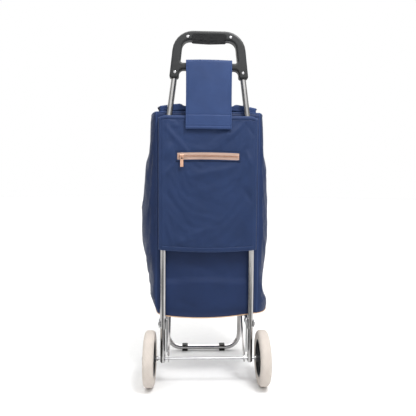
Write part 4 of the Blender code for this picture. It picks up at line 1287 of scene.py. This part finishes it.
def make_zip():
    """The tape, two rows of teeth with their cords, the welt round it and two rows of stitches."""
    y_face = low("zip_tape").y
    columns, rows = 90, 16
    points = np.zeros((rows, columns, 3))
    for r in range(rows):
        v = r / (rows - 1)
        for c in range(columns):
            x = -ZIP_HALF + 2 * ZIP_HALF * c / (columns - 1)
            taper = 1 - 0.1 * smooth_step(np.array((abs(x) - ZIP_HALF + 0.006) / 0.006)).item()
            z = ZIP_Z + zip_arch(x) + (v - 0.5) * TAPE_HEIGHT * taper
            swell = 0.001 * (1 - abs(2 * v - 1) ** 3) + 0.0002 * noise.noise(Vector((x * 90, v * 5, 3)))
            points[r, c] = (x, y_face - 0.0001 - swell * 0.6, z)
    tape = cloth_sheet("zip_tape_band", points, TAPE_CLOTH)
    put(tape, TAPE, "frame", "zip_tape", "zip_tape")
    verts, faces = [], []
    half = high("zip_coil").x
    y_out = low("zip_coil").y
    count = int(2 * half / TOOTH_PITCH)
    for k in range(count):
        for row in (-1, 1):
            x = -half + TOOTH_PITCH * (k + 0.5) + (TOOTH_PITCH / 4) * row
            z = ZIP_Z + zip_arch(x) + row * 0.00085
            add_tooth(verts, faces, x, y_out, z)
    coil = new_mesh("zip_teeth", verts, faces, None, smooth=False)
    put(coil, COPPER, "frame", "zip_metal", "zip_coil")
    beside = [along_zip(half, 60, y_out + 0.0008, row * 0.0022) for row in (-1, 1)]
    cord = cords("zip_cords", beside, 0.0006, 6)
    even_wear(cord, 0.0)
    put(cord, TAPE, "frame", "zip_tape")
    welt = [along_zip(ZIP_HALF + 0.002, 60, y_face + 0.0004, row * WELT_OUT) for row in (-1, 1)]
    heights = np.linspace(-WELT_OUT, WELT_OUT, 14)
    for x in (-ZIP_HALF - 0.0018, ZIP_HALF + 0.0018):
        welt.append([(x, y_face + 0.0004, ZIP_Z + zip_arch(x) + up) for up in heights])
    lip = cords("zip_welt", welt, [WELT_R, WELT_R, WELT_END_R, WELT_END_R])
    even_wear(lip, 0.25)
    put(lip, PANEL, "frame", "bag_fabric")
    lines = [along_zip(ZIP_HALF + 0.004, 50, y_face + 0.0002, row * 0.0134) for row in (-1, 1)]
    put(stitches("zip_stitches", lines, front_side, 0.0024, 0.0012, 0.00042), THREAD, "frame", "bag_fabric")


def add_tooth(verts, faces, x, y, z):
    """One tooth. w, h and d are half its width, half its height and its depth."""
    base = len(verts)
    w, h, d = 0.00042, 0.00125, 0.0013
    for dx, dz in ((-w, -h), (w, -h), (w, h), (-w, h)):
        for dy, shrink in ((0.0, 0.62), (d * 0.45, 1.0), (d, 1.0)):
            verts.append((x + dx * shrink, y + dy, z + dz * shrink))
    for k in range(4):
        n = (k + 1) % 4
        for level in range(2):
            a, b = base + k * 3 + level, base + n * 3 + level
            faces.append((a, a + 1, b + 1, b))
    faces.append(tuple(base + k * 3 for k in range(4)))
    faces.append(tuple(base + k * 3 + 2 for k in (3, 2, 1, 0)))


# ---- wheels ----------------------------------------------------------------
TREAD_PITCH, TREAD_WIDTH, TREAD_DEPTH, SHOULDER = 0.00914, 0.007, 0.0011, 0.0095


def make_tyre(side, word):
    """The foam tyre: round shoulders and a fine diamond tread."""
    node = f"tyre_{word}"
    centre = side * WHEEL_X
    half = (high(node).x - low(node).x) / 2
    seat = high(f"hub_{word}").z - AXLE_Z + 0.0003
    outline = [(-half + 0.003, seat), (-half + 0.0008, seat + 0.0016), (-half + 0.0001, seat + 0.005)]
    for k in range(9):
        a = math.pi / 2 * k / 8
        outline.append((-half + SHOULDER * (1 - math.cos(a)), WHEEL_R - SHOULDER * (1 - math.sin(a))))
    flat_start = -half + SHOULDER
    tread = [(flat_start + (-2 * flat_start) * k / 12, WHEEL_R) for k in range(1, 12)]
    profile = outline + tread + [(-x, r) for x, r in reversed(outline)]
    steps = 220
    verts = np.zeros((len(profile), steps, 3))
    wear = np.zeros((len(profile), steps))
    for i, (x, r) in enumerate(profile):
        on_tread = max(0.0, min(1.0, (r - WHEEL_R + 0.0055) / 0.0035))
        for k in range(steps):
            a = math.tau * k / steps
            arc = a * WHEEL_R
            u, v = arc / TREAD_PITCH, x / TREAD_WIDTH
            lozenge = math.sin(math.pi * (u + v)) * math.sin(math.pi * (u - v))
            dent = TREAD_DEPTH * max(0.0, 1 - 3.2 * abs(lozenge)) * on_tread
            pit = 0.00035 * noise.noise(Vector((math.cos(a) * 14, math.sin(a) * 14, x * 160)))
            radius = r - dent - abs(pit) * (r > seat + 0.004)
            # wear: painted shade in each tread dent, deeper with the dent, plus dust over the whole tread.
            wear[i, k] = min(1.0, dent / TREAD_DEPTH) * 0.9 + (0.25 if on_tread else 0)
            verts[i, k] = (centre + x, TUBE_Y + radius * math.sin(a), AXLE_Z + radius * math.cos(a))
    faces = [tuple(f) for f in grid_faces(len(profile), steps, True)]
    n = len(profile)
    for k in range(steps):
        d = (k + 1) % steps
        faces.append(((n - 1) * steps + k, (n - 1) * steps + d, d, k))
    obj = new_mesh(f"tyre_foam_{word}", verts.reshape(-1, 3), [f[::-1] for f in faces])
    set_wear(obj, wear)
    put(obj, FOAM, f"wheel_{word}", "tyre_foam", node)
    return obj


# ---- the CAD nodes that stay -----------------------------------------------
def both(*stems):
    """The left and right nodes of each stem."""
    return [f"{stem}_{word}" for stem in stems for word in ("left", "right")]


def dress_nodes():
    screws = [f"handle_screw_{k}" for k in (1, 2, 3, 4)]
    looks = {
        CHROME: both("main_tube", "leg"),
        CHROME_Y: ["foot_loop"] + both("strut"),
        ZINC: both("inner_plate", "outer_plate"),
        AXLE: ["axle"] + both("leg_rivet", "pivot_pin", "axle_collar") + screws,
        CHARCOAL: ["handle_back", "handle_front"],
        GRIP: ["grip_insert"],
        BLACK: both("hub", "axle_cap"),
        RUBBER: both("foot_clip"),
        COPPER: both("zip_stop") + ["zip_slider", "zip_pull"],
    }
    for look, names in looks.items():
        for name in names:
            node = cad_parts[name]
            node.data.materials.clear()
            node.data.materials.append(look)


# ---- put it together -------------------------------------------------------
def build():
    bag, shell = make_bag()
    soft = [bag] + dress_bag(shell)
    dress_sleeve(make_sleeve())
    make_strap()
    make_strap_tail()
    lid_pieces = make_lid()
    make_hinge_band()
    make_patch("strap_patch", "strap_pad", 1, "strap")
    make_patch("sleeve_patch", "sleeve_pad", -1, "frame")
    make_patch("front_patch", "front_pad", 1, "frame", True)
    make_patch("lid_patch", "lid_pad", -1, "lid", True)
    make_zip()
    for side, word in ((-1, "left"), (1, "right")):
        make_tyre(side, word)
    dress_nodes()
    for piece in soft:
        flatten_with_foot(piece)
    for piece in lid_pieces:
        flatten_with_foot(piece)


build()
bpy.context.scene.view_settings.view_transform = "Standard"
